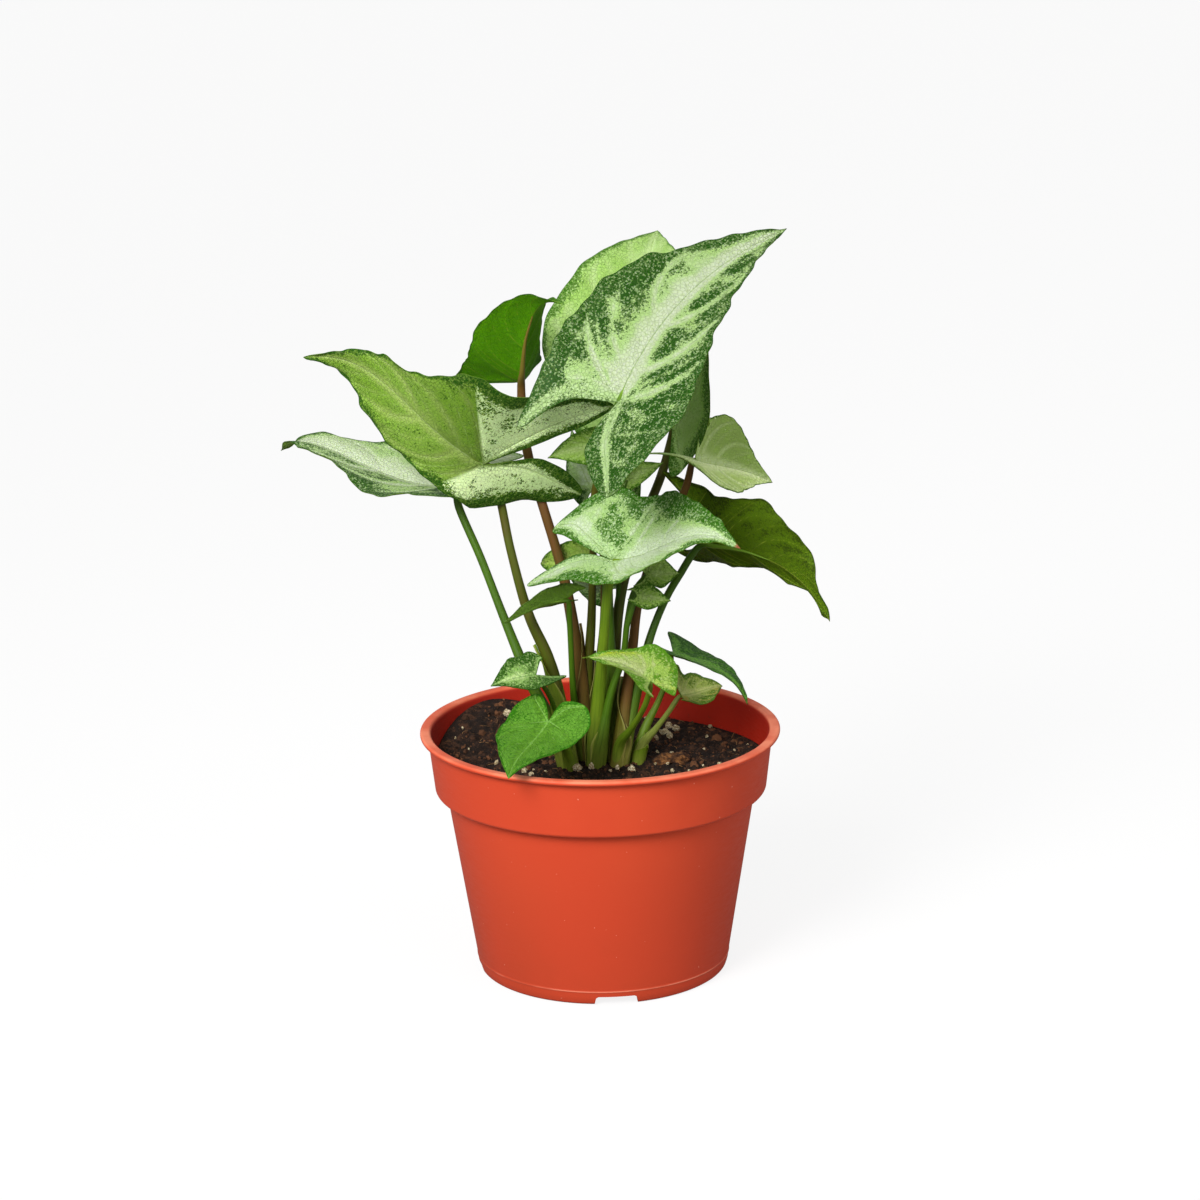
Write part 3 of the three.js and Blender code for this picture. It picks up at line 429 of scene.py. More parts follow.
def bladeMesh(name, leaf, materials):
    frameOf = leafFrame(leaf)
    length = frameOf[4]
    points, flats, values, faces = bladeSheet(leaf, frameOf)
    fromMain, alongMain, fromSide, alongSide, fromFiner, fromEdge, onLobe = values
    normals = np.zeros_like(points)
    for face in faces:
        normals[face] += np.cross(points[face[1]] - points[face[0]], points[face[2]] - points[face[0]])
    normals /= np.maximum(np.linalg.norm(normals, axis=1), 1e-9)[:, None]
    # pale glow along the veins, wide at the foot of each and gone at its end
    scale = min(length / 90, 1)
    pale = np.where(flats[:, 0] < 0, *leaf["paleWide"])
    glow = np.exp(-(fromMain / (scale * pale * (1.5 + 10.5 * (1 - alongMain) ** 0.8))) ** 2)
    sideGlow = np.exp(-(fromSide / (scale * (1.2 + 3.4 * (1 - alongSide)))) ** 2)
    glow = np.maximum(glow, (0.95 - 0.35 * alongSide) * sideGlow)
    glow = np.maximum(glow, 0.35 * np.exp(-(fromFiner / (1.6 * scale)) ** 2))
    # relief: quilted between the veins, grooved on top of them and ridged below
    closer = fromSide < fromMain
    fromMain, alongMain = np.where(closer, fromSide, fromMain), np.where(closer, alongSide, alongMain)
    inner = smooth(0, 2.5, fromEdge)
    quilt = bladeBuild["quilt"] * scale * inner * (smooth(0, 6 * scale, fromMain) - 0.5
                                                   + 0.35 * smooth(0, 3 * scale, fromFiner))
    groove = bladeBuild["groove"] * inner * np.exp(-(fromMain / (0.55 - 0.2 * alongMain)) ** 2)
    ridge = bladeBuild["ridge"] * scale * (1 - 0.75 * alongMain) * inner
    ridge *= np.exp(-(fromMain / (1.1 - 0.6 * alongMain)) ** 2)
    thick = (bladeBuild["edge"] + (bladeBuild["thickness"] - bladeBuild["edge"]) * smooth(0, 3, fromEdge)) / 2
    top = points + normals * (quilt + thick - groove)[:, None]
    under = points + normals * (quilt - thick - ridge)[:, None]
    count = len(points)
    shell = [*faces, *([count + corner for corner in reversed(face)] for face in faces)]
    openEdges = {}  # edges with a face on one side only
    for face in faces:
        for start, end in zip(face, face[1:] + face[:1]):
            if openEdges.pop((end, start), None) is None:
                openEdges[(start, end)] = True
    shell += [[start, count + start, count + end, end] for start, end in openEdges]
    slots = [0] * len(faces) + [1] * (len(shell) - len(faces))
    layers = {"glow": glow, "fromVein": fromMain / (1 - 0.6 * alongMain), "fromFiner": fromFiner,
              "fromEdge": fromEdge, "alongRib": np.clip(flats[:, 1] / length, -1, 1),
              "acrossRib": flats[:, 0] / max(leaf["half"]), "onLobe": onLobe * smooth(0, 3, fromEdge)}
    layers = {key: np.concatenate([value, value]) for key, value in layers.items()}
    return newMesh(name, np.concatenate([top, under]), shell, materials, slots, layers)


leafTones = {  # colours of the upper side between pale veins and dark border; then of the underside
    "pale": dict(pale=(194, 214, 172), mid=(160, 194, 118), dark=(44, 90, 22), speck=(150, 200, 84),
                 rib=(150, 178, 104), border=5.0, lobeBorder=1.2, share=(0.8, 0.8), below=(120, 160, 50),
                 belowRib=(150, 185, 92)),
    "green": dict(pale=(182, 208, 128), mid=(128, 166, 60), dark=(64, 108, 18), speck=(150, 190, 76),
                  rib=(150, 180, 90), border=2.0, lobeBorder=1.0, share=(0.35, 0.35), below=(100, 142, 26),
                  belowRib=(140, 170, 70)),
    "fresh": dict(pale=(122, 180, 64), mid=(72, 136, 20), dark=(50, 114, 12), speck=(118, 176, 62),
                  rib=(130, 186, 80), border=1.2, lobeBorder=1.0, share=(0.4, 0.4), below=(100, 165, 35),
                  belowRib=(140, 195, 90)),
    # blades seen from below: their bright saturated greens are partly the underside's own colour and partly
    # painted glow of light shining through
    "under": dict(pale=(126, 172, 42), mid=(84, 140, 12), dark=(56, 104, 4), speck=(128, 172, 50),
                  rib=(140, 180, 70), border=3.0, lobeBorder=1.2, share=(0.5, 0.5), below=(82, 146, 0),
                  belowRib=(120, 166, 30)),
    "deep": dict(pale=(168, 208, 112), mid=(72, 124, 32), dark=(44, 90, 16), speck=(110, 164, 60),
                 rib=(104, 152, 64), border=9.0, lobeBorder=1.0, share=(1.5, 1.5), below=(62, 104, 20),
                 belowRib=(110, 150, 60)),
    "lime": dict(pale=(190, 208, 132), mid=(146, 180, 74), dark=(80, 134, 22), speck=(150, 196, 70),
                 rib=(160, 188, 96), border=2.0, lobeBorder=1.2, share=(0.35, 0.35), below=(125, 160, 40),
                 belowRib=(165, 195, 85)),
}
leafFinishes = {  # tone, then what differs from it
    "tall": ("pale", dict(pale=(196, 208, 176), mid=(160, 186, 116), dark=(36, 80, 12), border=4.2,
                          lobeBorder=2.2, rib=(128, 158, 88), share=(1.2, 1.9), leftDark=1.7, net=0.7)),
    # broad: its lobes are painted lighter as painted light, and its panel by the lobe fold is painted darker
    # as painted shade
    "broad": ("pale", dict(pale=(146, 170, 88), mid=(106, 138, 40), dark=(36, 78, 12), speck=(109, 153, 43),
                           rib=(156, 178, 108), border=2.6, share=(0.7, 0.65), net=0.9, paintedLobeLightShare=0.92,
                           paintedLobeLightTone=(232, 255, 190), rightPaintedShade=0.75, through=0.3, depth=1.0)),
    "outer": ("pale", dict(pale=(212, 226, 190), mid=(174, 200, 134), dark=(46, 90, 20), border=2.0,
                           share=(1.3, 0.8), leftDark=2.2)),
    "rear": ("lime", dict(pale=(192, 216, 152), mid=(154, 190, 98), dark=(62, 108, 26),
                          speck=(150, 196, 90), depth=0.95, border=1.6, lobeBorder=3.0, share=(0.3, 0.2),
                          leftDark=2.0, net=0.9)),
    "upright": ("under", dict(below=(74, 132, 0), belowRib=(126, 150, 44), through=0.6)),
    # side: its near half is painted lighter where the tall blade's shadow falls, and its far half takes
    # painted shade
    "side": ("green", dict(pale=(240, 254, 198), mid=(206, 232, 132), dark=(58, 100, 8), border=0.9,
                           share=(0.3, 0.3), below=(122, 156, 50), leftPaintedShade=0.85, net=0.6, depth=0.98)),
    "hanging": ("under", dict(below=(78, 106, 6), belowRib=(150, 168, 56), blotch=1.0, through=0.5)),
    "front": ("pale", dict(pale=(208, 224, 190), mid=(170, 200, 126), dark=(50, 104, 10), border=3.7,
                           lobeBorder=0.9, share=(0.65, 0.6), leftDark=2.0, dryFrom=0.972)),
    "heart": ("fresh", dict(pale=(100, 152, 46), mid=(50, 106, 8), rib=(136, 184, 92), share=(0.6, 0.6))),
    "lime": ("lime", dict(pale=(180, 192, 132), mid=(148, 170, 76), tint=(178, 194, 28), tintShare=1.0,
                          share=(1.1, 0.5), border=2.8)),
    "drip": ("deep", dict(pale=(96, 140, 54))),
    "paleLow": ("green", dict(pale=(218, 226, 146), mid=(196, 204, 100), dark=(86, 132, 26),
                              tint=(200, 170, 60), tintShare=0.8, share=(1.0, 1.2), border=1.6)),
    "splash": ("deep", dict(pale=(204, 230, 156), mid=(150, 192, 100), share=(0.7, 0.7), border=4.6)),
    "wing": ("under", dict(below=(116, 156, 56), through=0.2)),
    "olive": ("green", dict(pale=(165, 190, 90))),
    "tuckHigh": ("green", dict(share=(0.4, 0.4), border=1.6)),
    "tuckLow": ("green", dict(share=(0.4, 0.4), border=1.6)),
    "shade": ("green", {}),
    "ghost": ("pale", {}),
    "chip": ("green", {}),
    "hidden": ("pale", {}),
}
leafSlots = {"pale": "leaf_pale", "green": "leaf_green", "fresh": "leaf_fresh", "under": "leaf_bright",
             "deep": "leaf_deep", "lime": "leaf_lime"}
plainTone = dict(depth=0.78, leftDark=0.0, net=0.5, paintedLobeLightShare=0.0, paintedLobeLightTone=(0, 0, 0), leftPaintedShade=0.0,
                 rightPaintedShade=0.0, ribStrength=0.6, through=0.2, dryFrom=2.0, tint=(200, 200, 80),
                 tintShare=0.0, blotch=0.0)
toneColours = ("pale", "mid", "dark", "speck", "rib", "tint", "paintedLobeLightTone")
toneNumbers = ("border", "lobeBorder", "leftShare", "rightShare", "leftDark", "leftPaintedShade", "rightPaintedShade",
               "tintShare", "dryFrom", "ribStrength", "net", "paintedLobeLightShare")
bladeLayers = ("glow", "fromVein", "fromFiner", "fromEdge", "alongRib", "acrossRib", "onLobe")
mottle = {"cells": 1500.0, "smallCells": 3000.0, "netCells": 650.0, "grain": 750.0, "patches": 95.0,
          "clouds": 40.0, "dryDark": (104, 54, 28), "dryLight": (176, 112, 74)}  # cells and noise per metre


def buildMottle():  # colour of a blade, from its pale veins to its dark margin
    tree, given, out = newGroup("leafMottle", "ShaderNodeTree", [
        ("place", "NodeSocketVector", None),
        *[(name, "NodeSocketFloat", 0.0) for name in (*bladeLayers, *toneNumbers)],
        *[(name, "NodeSocketColor", None) for name in toneColours],
    ], [("Color", "NodeSocketColor"), ("Height", "NodeSocketFloat")])
    place, edge = given["place"], given["fromEdge"]
    pale, mid, dark, speck = (given[name] for name in ("pale", "mid", "dark", "speck"))
    drawn = [put(tree, "ShaderNodeTexVoronoi", {"Vector": place, "Scale": mottle[size]}).outputs["Color"]
             for size in ("cells", "smallCells")]
    chance, second = (put(tree, "ShaderNodeSeparateColor", {0: colour}).outputs for colour in drawn)
    grain = noiseOf(tree, place, mottle["grain"], 2, 0.6)
    dither = plus(tree, times(tree, chance[0], 0.45), times(tree, second[0], 0.3))
    dither = plus(tree, dither, between(tree, grain, 0.3, 0.7, 0.0, 0.3))
    patch = between(tree, noiseOf(tree, place, mottle["patches"], 3), 0.3, 0.68)
    cloud = between(tree, noiseOf(tree, place, mottle["clouds"], 2), 0.35, 0.65)
    away = minus(tree, 1.0, given["glow"])
    onRight = between(tree, given["acrossRib"], -0.03, 0.03)
    # dark border, wide on the lobes and thin towards the tip
    lobes = between(tree, given["alongRib"], -0.05, 0.6, 1.0, 0.0)
    widen = plus(tree, 0.75, times(tree, lobes, given["lobeBorder"]))
    # the left half's dark border reaches further in: the leaf's own border, and on the tall and rear blades
    # also painted shade where their left halves lie in shade
    left = times(tree, given["leftDark"], between(tree, given["acrossRib"], -0.5, 0.0, 1.0, 0.0))
    reach = times(tree, given["border"], between(tree, cloud, 0.0, 1.0, 0.4, 1.5), plus(tree, widen, left))
    band = minus(tree, 1.0, maths(tree, "DIVIDE", edge, reach), clamp=True)
    # dark patches between the veins, then how much of both each speck takes
    inner = times(tree, maths(tree, "POWER", away, 1.6), between(tree, patch, 0.0, 1.0, 0.35, 1.0),
                  blend(tree, onRight, given["leftShare"], given["rightShare"]))
    amount = plus(tree, times(tree, band, between(tree, away, 0.0, 0.5, 0.5, 1.3)), inner)
    over = minus(tree, amount, plus(tree, dither, 0.05))
    mask, solid = between(tree, over, -0.05, 0.07), between(tree, over, 0.1, 0.5)
    fringe = times(tree, between(tree, amount, 0.04, 0.32), between(tree, amount, 0.45, 0.9, 0.45, 0.2))
    # pale ground, with painted shade on each half: over the left half away from its veins, and over the right
    # half's panel by the lobe fold
    base = blend(tree, times(tree, away, between(tree, cloud, 0.0, 1.0, 0.5, 0.95)), pale, mid)
    base = blend(tree, between(tree, grain, 0.44, 0.62, 0.0, 0.35), base, mid)
    # painted shade: the left half away from its veins is darkened, where that half turns from the light
    paintedShadeOffVein = times(tree, between(tree, away, 0.1, 0.9, 0.6, 1.0), minus(tree, 1.0, onRight))
    base = blend(tree, times(tree, given["leftPaintedShade"], paintedShadeOffVein), base, blend(tree, 0.7, mid, dark))
    # painted shade: the right half's panel between midrib and lobe fold is darkened, as the fold turns it
    # from the light
    paintedPanelShade = times(tree, onRight, between(tree, given["alongRib"], 0.1, 0.6, 1.0, 0.0),
                  between(tree, patch, 0.0, 1.0, 0.5, 1.0), given["rightPaintedShade"])
    base = blend(tree, paintedPanelShade, base, blend(tree, 0.35, mid, dark))
    base = blend(tree, fringe, base, speck)
    # painted light: the lobes are lightened toward a bright tone, though they face away from the light
    lobe = times(tree, given["onLobe"], given["paintedLobeLightShare"], between(tree, cloud, 0.0, 1.0, 1.0, 0.75))
    base = blend(tree, lobe, base, given["paintedLobeLightTone"])
    rimward = between(tree, plus(tree, edge, times(tree, cloud, 2.0)), 1.5, 5.5, 1.0, 0.0)
    yellow = times(tree, between(tree, given["acrossRib"], -0.1, 0.3), rimward, given["tintShare"])
    base = blend(tree, yellow, base, given["tint"])
    # the dark over it, with pale flecks left in it
    colour = blend(tree, mask, base, blend(tree, solid, blend(tree, 0.3, dark, mid), dark))
    fleck = times(tree, between(tree, chance[1], 0.72, 0.78), minus(tree, 1.0, times(tree, solid, 0.5)),
                  mask, 0.9)
    colour = blend(tree, fleck, colour, blend(tree, second[1], speck, pale))
    # net of the finest veins, the drawn veins, the rim and a dried tip
    cells = put(tree, "ShaderNodeTexVoronoi", {"Vector": place, "Scale": mottle["netCells"]},
                feature="DISTANCE_TO_EDGE")
    net = between(tree, cells.outputs["Distance"], 0.0, 0.1, 1.0, 0.0)
    netShare = times(tree, net, between(tree, edge, 0.5, 9.0, 1.0, 0.12), given["net"])
    colour = blend(tree, netShare, colour, blend(tree, 0.5, dark, mid))
    line = maths(tree, "MAXIMUM", between(tree, given["fromVein"], 0.12, 0.5, 1.0, 0.0),
                 between(tree, given["fromFiner"], 0.05, 0.3, 0.6, 0.0))
    colour = blend(tree, times(tree, line, given["ribStrength"]), colour, given["rib"])
    colour = blend(tree, between(tree, edge, 0.1, 0.4, 0.7, 0.0), colour, dark)
    dried = between(tree, minus(tree, given["alongRib"], given["dryFrom"]), -0.012, 0.008)
    colour = blend(tree, dried, colour,
                   blend(tree, grain, linear(mottle["dryDark"]), linear(mottle["dryLight"])))
    tree.links.new(colour, out["Color"])
    height = minus(tree, times(tree, patch, 0.5), times(tree, net, 0.5))
    tree.links.new(plus(tree, height, times(tree, grain, 0.3)), out["Height"])
    return tree


leafMottle = buildMottle()
leafSurface = {"roughness": (0.46, 0.6), "specular": 0.1, "throughRadius": (0.8, 1.0, 0.4),
               "throughScale": 0.0009, "bumpDistance": 0.0006, "bumpStrength": 0.8}


def undersideTone(tone):  # plainer and more even than the upper side
    below = np.array(tone["below"])
    return {**tone, "pale": np.minimum(below * 1.12 + 6, 255), "mid": below, "dark": below * 0.72,
            "speck": below * 1.1 + 6, "rib": tone["belowRib"], "tint": below, "paintedLobeLightTone": below,
            "border": 0.8, "lobeBorder": 1.0, "share": (0.25 + 0.6 * tone["blotch"],) * 2, "leftDark": 0.0,
            "leftPaintedShade": 0.0, "rightPaintedShade": 0.0, "tintShare": 0.0, "ribStrength": 0.8, "net": 0.35,
            "paintedLobeLightShare": 0.0}


def leafMaterial(name, roughness, tone):
    material, tree, shader = newMaterial(name, roughness, leafSurface["specular"])
    tone = {**tone, "leftShare": tone["share"][0], "rightShare": tone["share"][1]}
    depth = np.array([tone["depth"]] * 3 + [1.0])
    feeds = {"place": objectPlace(tree), **{layer: attribute(tree, layer) for layer in bladeLayers},
             **{key: tone[key] for key in toneNumbers},
             **{key: tuple(linear(tone[key]) * depth) for key in toneColours}}
    group = put(tree, "ShaderNodeGroup", feeds, node_tree=leafMottle)
    tree.links.new(group.outputs["Color"], shader.inputs["Base Color"])
    shader.inputs["Subsurface Weight"].default_value = tone["through"]
    shader.inputs["Subsurface Radius"].default_value = leafSurface["throughRadius"]
    shader.inputs["Subsurface Scale"].default_value = leafSurface["throughScale"]
    bump(tree, shader, group.outputs["Height"], leafSurface["bumpDistance"], leafSurface["bumpStrength"])
    return material


for leafName, shape in leafShapes.items():
    name = f"leaf_{leafName}"
    toneName, changes = leafFinishes[leafName]
    tone = {**plainTone, **leafTones[toneName], **changes}
    materials = [leafMaterial(f"{name}_upper", leafSurface["roughness"][0], tone),
                 leafMaterial(f"{name}_under", leafSurface["roughness"][1], undersideTone(tone))]
    addPiece(name, bladeMesh(name, {**plainLeaf, **shape}, materials), leafSlots[toneName],
             f"blade_{leafName}")
print("leaves made:", len(leafShapes))


shoots = {  # foot in the soil; each stalk's points and its radius at the sheath and at the blade
    "left": {"foot": (-12.3, -8), "radius": 4.6, "stalks": {
        "outer": ([(-18, -7, 104), (-29, -5, 127), (-39, 2, 151), (-49, 9, 177), (-58, 15, 198)], (2.8, 1.7)),
        "broad": ([(-17, -9, 115), (-21, -9, 137), (-29, -9, 157), (-36, -6, 184), (-40, -3, 205),
                   (-43, -11, 218)], (3, 1.8)),
        "splash": ([(-14, -11, 103), (-18, -19, 117), (-22, -26, 129)], (1.8, 1)),
        "heart": ([(-14, -16, 99), (-18, -34, 112)], (1.8, 1.1)),
        "spear": ([(-15, -7, 117), (-18, -5, 133), (-22, -4, 144)], (2.4, 0.3))}},
    "back": {"foot": (-6, 2), "radius": 4.4, "stalks": {
        "upright": ([(-7, 1, 103), (-8, 1, 125), (-11, 2, 151), (-15, 3, 173), (-22, 6, 198), (-27, 9, 215),
                     (-30, 12, 231)], (3, 2)),
        "wing": ([(-9, 0, 101), (-11, -6, 123), (-12, -11, 153)], (2, 1.2)),
        "shade": ([(-6, 2, 103), (-5, 3, 125), (-3, 4, 150), (-2, 3, 176), (-1, 0, 205)], (2.6, 1.5)),
        "olive": ([(-5, 3, 125), (-3, 5, 150), (-2, 8, 166)], (2, 1.2)),
        "ghost": ([(-4, 3, 100), (-1, 8, 123), (2, 15, 148), (2, 22, 176)], (2, 1.3)),
        "hidden": ([(-3, 4, 104), (0, 10, 127), (2, 16, 147)], (1.8, 1))}},
    "front": {"foot": (-2.5, -8), "radius": 4.4, "stalks": {
        "front": ([(-2, -9, 103), (0, -12, 125), (2, -18, 148), (4, -25, 171)], (3.4, 2.1)),
        "tuckHigh": ([(1, -12, 105), (5, -12, 124), (10, -12, 139), (12, -12, 154), (15, -12, 167)],
                     (2.2, 1.3)),
        "tuckLow": ([(1, -12, 105), (5, -13, 124), (10, -14, 139), (12, -17, 154)], (2, 1.1))}},
    "tall": {"foot": (4.6, 1), "radius": 4.2, "stalks": {
        "tall": ([(5, 0, 101), (5, -3, 126), (4, -3, 154), (4, -4, 182), (5, -8, 209), (7, -24, 238)],
                 (2.8, 2)),
        "rear": ([(6, 1, 116), (7, 2, 142), (10, 5, 163), (18, 12, 188), (28, 20, 211)], (2.8, 1.9)),
        "chip": ([(6, 1, 116), (8, 3, 151), (9, 4, 172), (10, 4, 194)], (1.8, 1.1))}},
    "right": {"foot": (7, -9), "radius": 4.2, "stalks": {
        "side": ([(11, -6, 118), (14, -5, 140), (17, -4, 161), (25, -4, 186), (37, -6, 210)], (2.6, 1.6)),
        "hanging": ([(13, -5, 111), (18, -3, 131), (22, 0, 145), (28, 3, 159), (34, 5, 169)], (2.8, 1.6)),
        "lime": ([(8, -11, 100), (13, -20, 110), (19, -36, 126)], (2, 1.2))}},
    "low": {"foot": (14.5, -4), "radius": 3.2, "stalks": {
        "drip": ([(18, -2, 102), (25, 1, 116), (30, 2, 129)], (2, 1.2)),
        "paleLow": ([(18, -6, 99), (23, -9, 106), (29, -12, 115)], (2.2, 1.1))}},
}
stalkTones = {  # colour at the foot, colour above, streak colour, colour under the blade
    "green": ((118, 128, 46), (66, 100, 12), (40, 70, 6), (118, 156, 46)),
    "bright": ((124, 134, 50), (100, 126, 24), (62, 92, 10), (118, 156, 46)),
    "brown": ((112, 102, 44), (96, 62, 26), (70, 68, 10), (118, 104, 40)),
    "olive": ((116, 116, 44), (70, 82, 12), (76, 48, 14), (118, 150, 46)),
    "pale": ((140, 134, 76), (128, 140, 62), (96, 110, 34), (132, 150, 70)),
}
stalkFinishes = {
    "outer": "green", "broad": "olive", "splash": "green", "heart": "bright", "spear": "bright",
    "upright": "brown", "wing": "green", "shade": "olive", "olive": "green", "ghost": "brown",
    "hidden": "green", "front": "bright", "tuckHigh": "green", "tuckLow": "green", "tall": "green",
    "rear": "olive", "chip": "green", "side": "brown", "hanging": "green", "lime": "bright", "drip": "bright",
    "paleLow": "pale",
}
stalkBuild = {"soilTop": 90, "footDepth": 14, "sides": 20, "step": 1.5}
stalkSurface = {"roughness": 0.45, "specular": 0.22, "streaks": 5.0, "clouds": 60.0, "rim": (168, 164, 88),
                "bumpDistance": 0.0004, "bumpStrength": 0.5}


def stalkMaterial(name, low, high, streak, tail, paleEdge=False):
    material, tree, shader = newMaterial(name, stalkSurface["roughness"], stalkSurface["specular"])
    along = attribute(tree, "along")
    stretched = put(tree, "ShaderNodeCombineXYZ", {2: times(tree, along, 1.5)}).outputs[0]
    lines = put(tree, "ShaderNodeVectorMath", {0: attribute(tree, "ring", "Vector"), 1: stretched}).outputs[0]
    fine = noiseOf(tree, lines, stalkSurface["streaks"], 4, 0.6)
    cloud = noiseOf(tree, objectPlace(tree), stalkSurface["clouds"], 2)
    colour = blend(tree, between(tree, along, 0.02, 0.3), linear(low), linear(high))
    colour = blend(tree, times(tree, between(tree, fine, 0.45, 0.7), 0.55), colour, linear(streak))
    colour = blend(tree, between(tree, cloud, 0.35, 0.7, 0.0, 0.35), colour, linear(streak))
    if paleEdge:  # a sheath's thin rims
        rim = between(tree, attribute(tree, "edge"), 0.86, 0.99, 0.0, 0.5)
        colour = blend(tree, rim, colour, linear(stalkSurface["rim"]))
    else:
        colour = blend(tree, times(tree, attribute(tree, "onLeaf"), 0.85), colour, linear(tail))
    tree.links.new(colour, shader.inputs["Base Color"])
    bump(tree, shader, fine, stalkSurface["bumpDistance"], stalkSurface["bumpStrength"])
    return material


def buildTube():  # a tube along each edge chain, as thick as its points' girth
    tree, given, out = newGroup("stalkTube", "GeometryNodeTree", [
        ("Geometry", "NodeSocketGeometry", None), ("Sides", "NodeSocketInt", 16),
        ("Material", "NodeSocketMaterial", None)], [("Geometry", "NodeSocketGeometry")])
    curve = put(tree, "GeometryNodeMeshToCurve", {0: given["Geometry"]}).outputs[0]
    girth = put(tree, "GeometryNodeInputNamedAttribute", {"Name": "girth"}).outputs[0]
    profile = put(tree, "GeometryNodeCurvePrimitiveCircle", {"Resolution": given["Sides"], "Radius": 1.0})
    place = put(tree, "GeometryNodeInputPosition").outputs[0]
    profile = put(tree, "GeometryNodeStoreNamedAttribute", {"Geometry": profile.outputs[0], "Name": "ring",
                                                            "Value": place},
                  data_type="FLOAT_VECTOR", domain="POINT")
    tube = put(tree, "GeometryNodeCurveToMesh", {"Curve": curve, "Profile Curve": profile.outputs[0],
                                                 "Scale": girth, "Fill Caps": True}).outputs[0]
    smoothed = put(tree, "GeometryNodeSetShadeSmooth", {0: tube}).outputs[0]
    real = put(tree, "GeometryNodeRealizeInstances", {0: smoothed}).outputs[0]
    done = put(tree, "GeometryNodeSetMaterial", {0: real, "Material": given["Material"]}).outputs[0]
    tree.links.new(done, out["Geometry"])
    return tree


stalkTube = buildTube()


def grow(name, start, tree, inputs):  # runs a geometry tree on the start mesh and gives the plain result
    carrier = addObject(name, start)
    modifier = carrier.modifiers.new("grow", "NODES")
    modifier.node_group = tree
    identifiers = {item.name: item.identifier for item in tree.interface.items_tree
                   if item.item_type == "SOCKET" and item.in_out == "INPUT"}
    for key, value in inputs.items():
        modifier[identifiers[key]] = value
    evaluated = carrier.evaluated_get(bpy.context.evaluated_depsgraph_get())
    result = bpy.data.meshes.new_from_object(evaluated)
    result.name = name
    carrier.modifiers.clear()
    bpy.data.objects.remove(carrier)
    return result


def centripetal(points, step):  # smooth path through the points, and where along it each of them lies
    points = np.asarray(points, float)
    padded = np.vstack([2 * points[0] - points[1], points, 2 * points[-1] - points[-2]])
    path, knots = [points[0]], [0]
    for i in range(len(points) - 1):
        p0, p1, p2, p3 = padded[i:i + 4]
        gaps = [np.linalg.norm(b - a) ** 0.5 for a, b in ((p0, p1), (p1, p2), (p2, p3))]
        t1 = ((p1 - p0) / gaps[0] - (p2 - p0) / (gaps[0] + gaps[1]) + (p2 - p1) / gaps[1]) * gaps[1]
        t2 = ((p2 - p1) / gaps[1] - (p3 - p1) / (gaps[1] + gaps[2]) + (p3 - p2) / gaps[2]) * gaps[1]
        count = max(int(np.linalg.norm(p2 - p1) / step), 3)
        for share in np.linspace(0, 1, count + 1)[1:]:
            path.append(p1 + t1 * share + (3 * (p2 - p1) - 2 * t1 - t2) * share ** 2
                        + (2 * (p1 - p2) + t1 + t2) * share ** 3)
        knots.append(len(path) - 1)
    return np.array(path), knots


def pathMesh(name, path, girth, onLeaf=None):
    mesh = bpy.data.meshes.new(name)
    mesh.from_pydata(inFrame(path).tolist(), [(i, i + 1) for i in range(len(path) - 1)], [])
    along = np.linspace(0, 1, len(path))
    onLeaf = 0 * along if onLeaf is None else onLeaf
    for key, value in (("girth", np.asarray(girth) * 0.001), ("along", along), ("onLeaf", onLeaf)):
        layer = mesh.attributes.new(key, "FLOAT", "POINT")
        layer.data.foreach_set("value", np.asarray(value, np.float32))
    return mesh


def stalkPath(foot, through, radii, leafName, swell):
    points = [(*foot, stalkBuild["soilTop"] - 0.4 * stalkBuild["footDepth"]), *through]
    thin = []
    if leafName in leafShapes:  # the stalk runs on under the midrib and sinks into it
        leaf = {**plainLeaf, **leafShapes[leafName]}
        frameOf = leafFrame(leaf)
        reach = np.array([0.0, 0.05, 0.1, 0.16, 0.24]) * frameOf[4] * leaf["tail"]
        rib = bend(leaf, frameOf, 0, np.stack([0 * reach, reach], 1), 0 * reach)
        thin = radii[1] * np.array([0.85, 0.6, 0.44, 0.3, 0.16])
        below = (bladeBuild["thickness"] / 2 + 0.8 * thin)[:, None]
        points += list(rib - ribNormals(leaf, frameOf, reach) * below)
    path, knots = centripetal(points, stalkBuild["step"])
    far = np.append(0, np.cumsum(np.linalg.norm(np.diff(path, axis=0), axis=1)))
    if leafName not in leafShapes:
        return path, radii[0] + (radii[1] - radii[0]) * smooth(0.1, 1.0, far / far[-1]), 0 * far
    blade = knots[-5]
    share = far / far[blade]
    girth = radii[0] + (radii[1] - radii[0]) * smooth(0.1, 0.7, share)
    girth += (swell - radii[0]) * (1 - smooth(6, 34, far))
    girth *= 1 - 0.15 * smooth(0.93, 1.0, share)
    girth[blade:] = np.interp(far[blade:], far[knots[-5:]], thin)
    return path, girth, smooth(0, 7, far - far[blade])


def turned(points, faces):  # faces outwards: the signed volume is above zero
    total = 0.0
    for face in faces:
        first = points[face[0]]
        for a, b in zip(face[1:-1], face[2:]):
            total += first @ np.cross(points[a], points[b])
    return faces if total > 0 else [tuple(reversed(face)) for face in faces]


def sheetShell(outer, inner):  # closes two grids of points into one thin body
    rows, columns = outer.shape[:2]
    points = np.concatenate([outer.reshape(-1, 3), inner.reshape(-1, 3)])
    at = np.arange(rows * columns).reshape(rows, columns)
    quads = np.stack([at[:-1, :-1], at[:-1, 1:], at[1:, 1:], at[1:, :-1]], 2).reshape(-1, 4)
    rim = [*at[0], *at[1:, -1], *at[-1, -2::-1], *at[-2:0:-1, 0]]
    count = rows * columns
    walls = [(a, b, b + count, a + count) for a, b in zip(rim, rim[1:] + rim[:1])]
    faces = [tuple(reversed(quad)) for quad in quads.tolist()]
    return points, turned(points, faces + (quads + count).tolist() + walls)


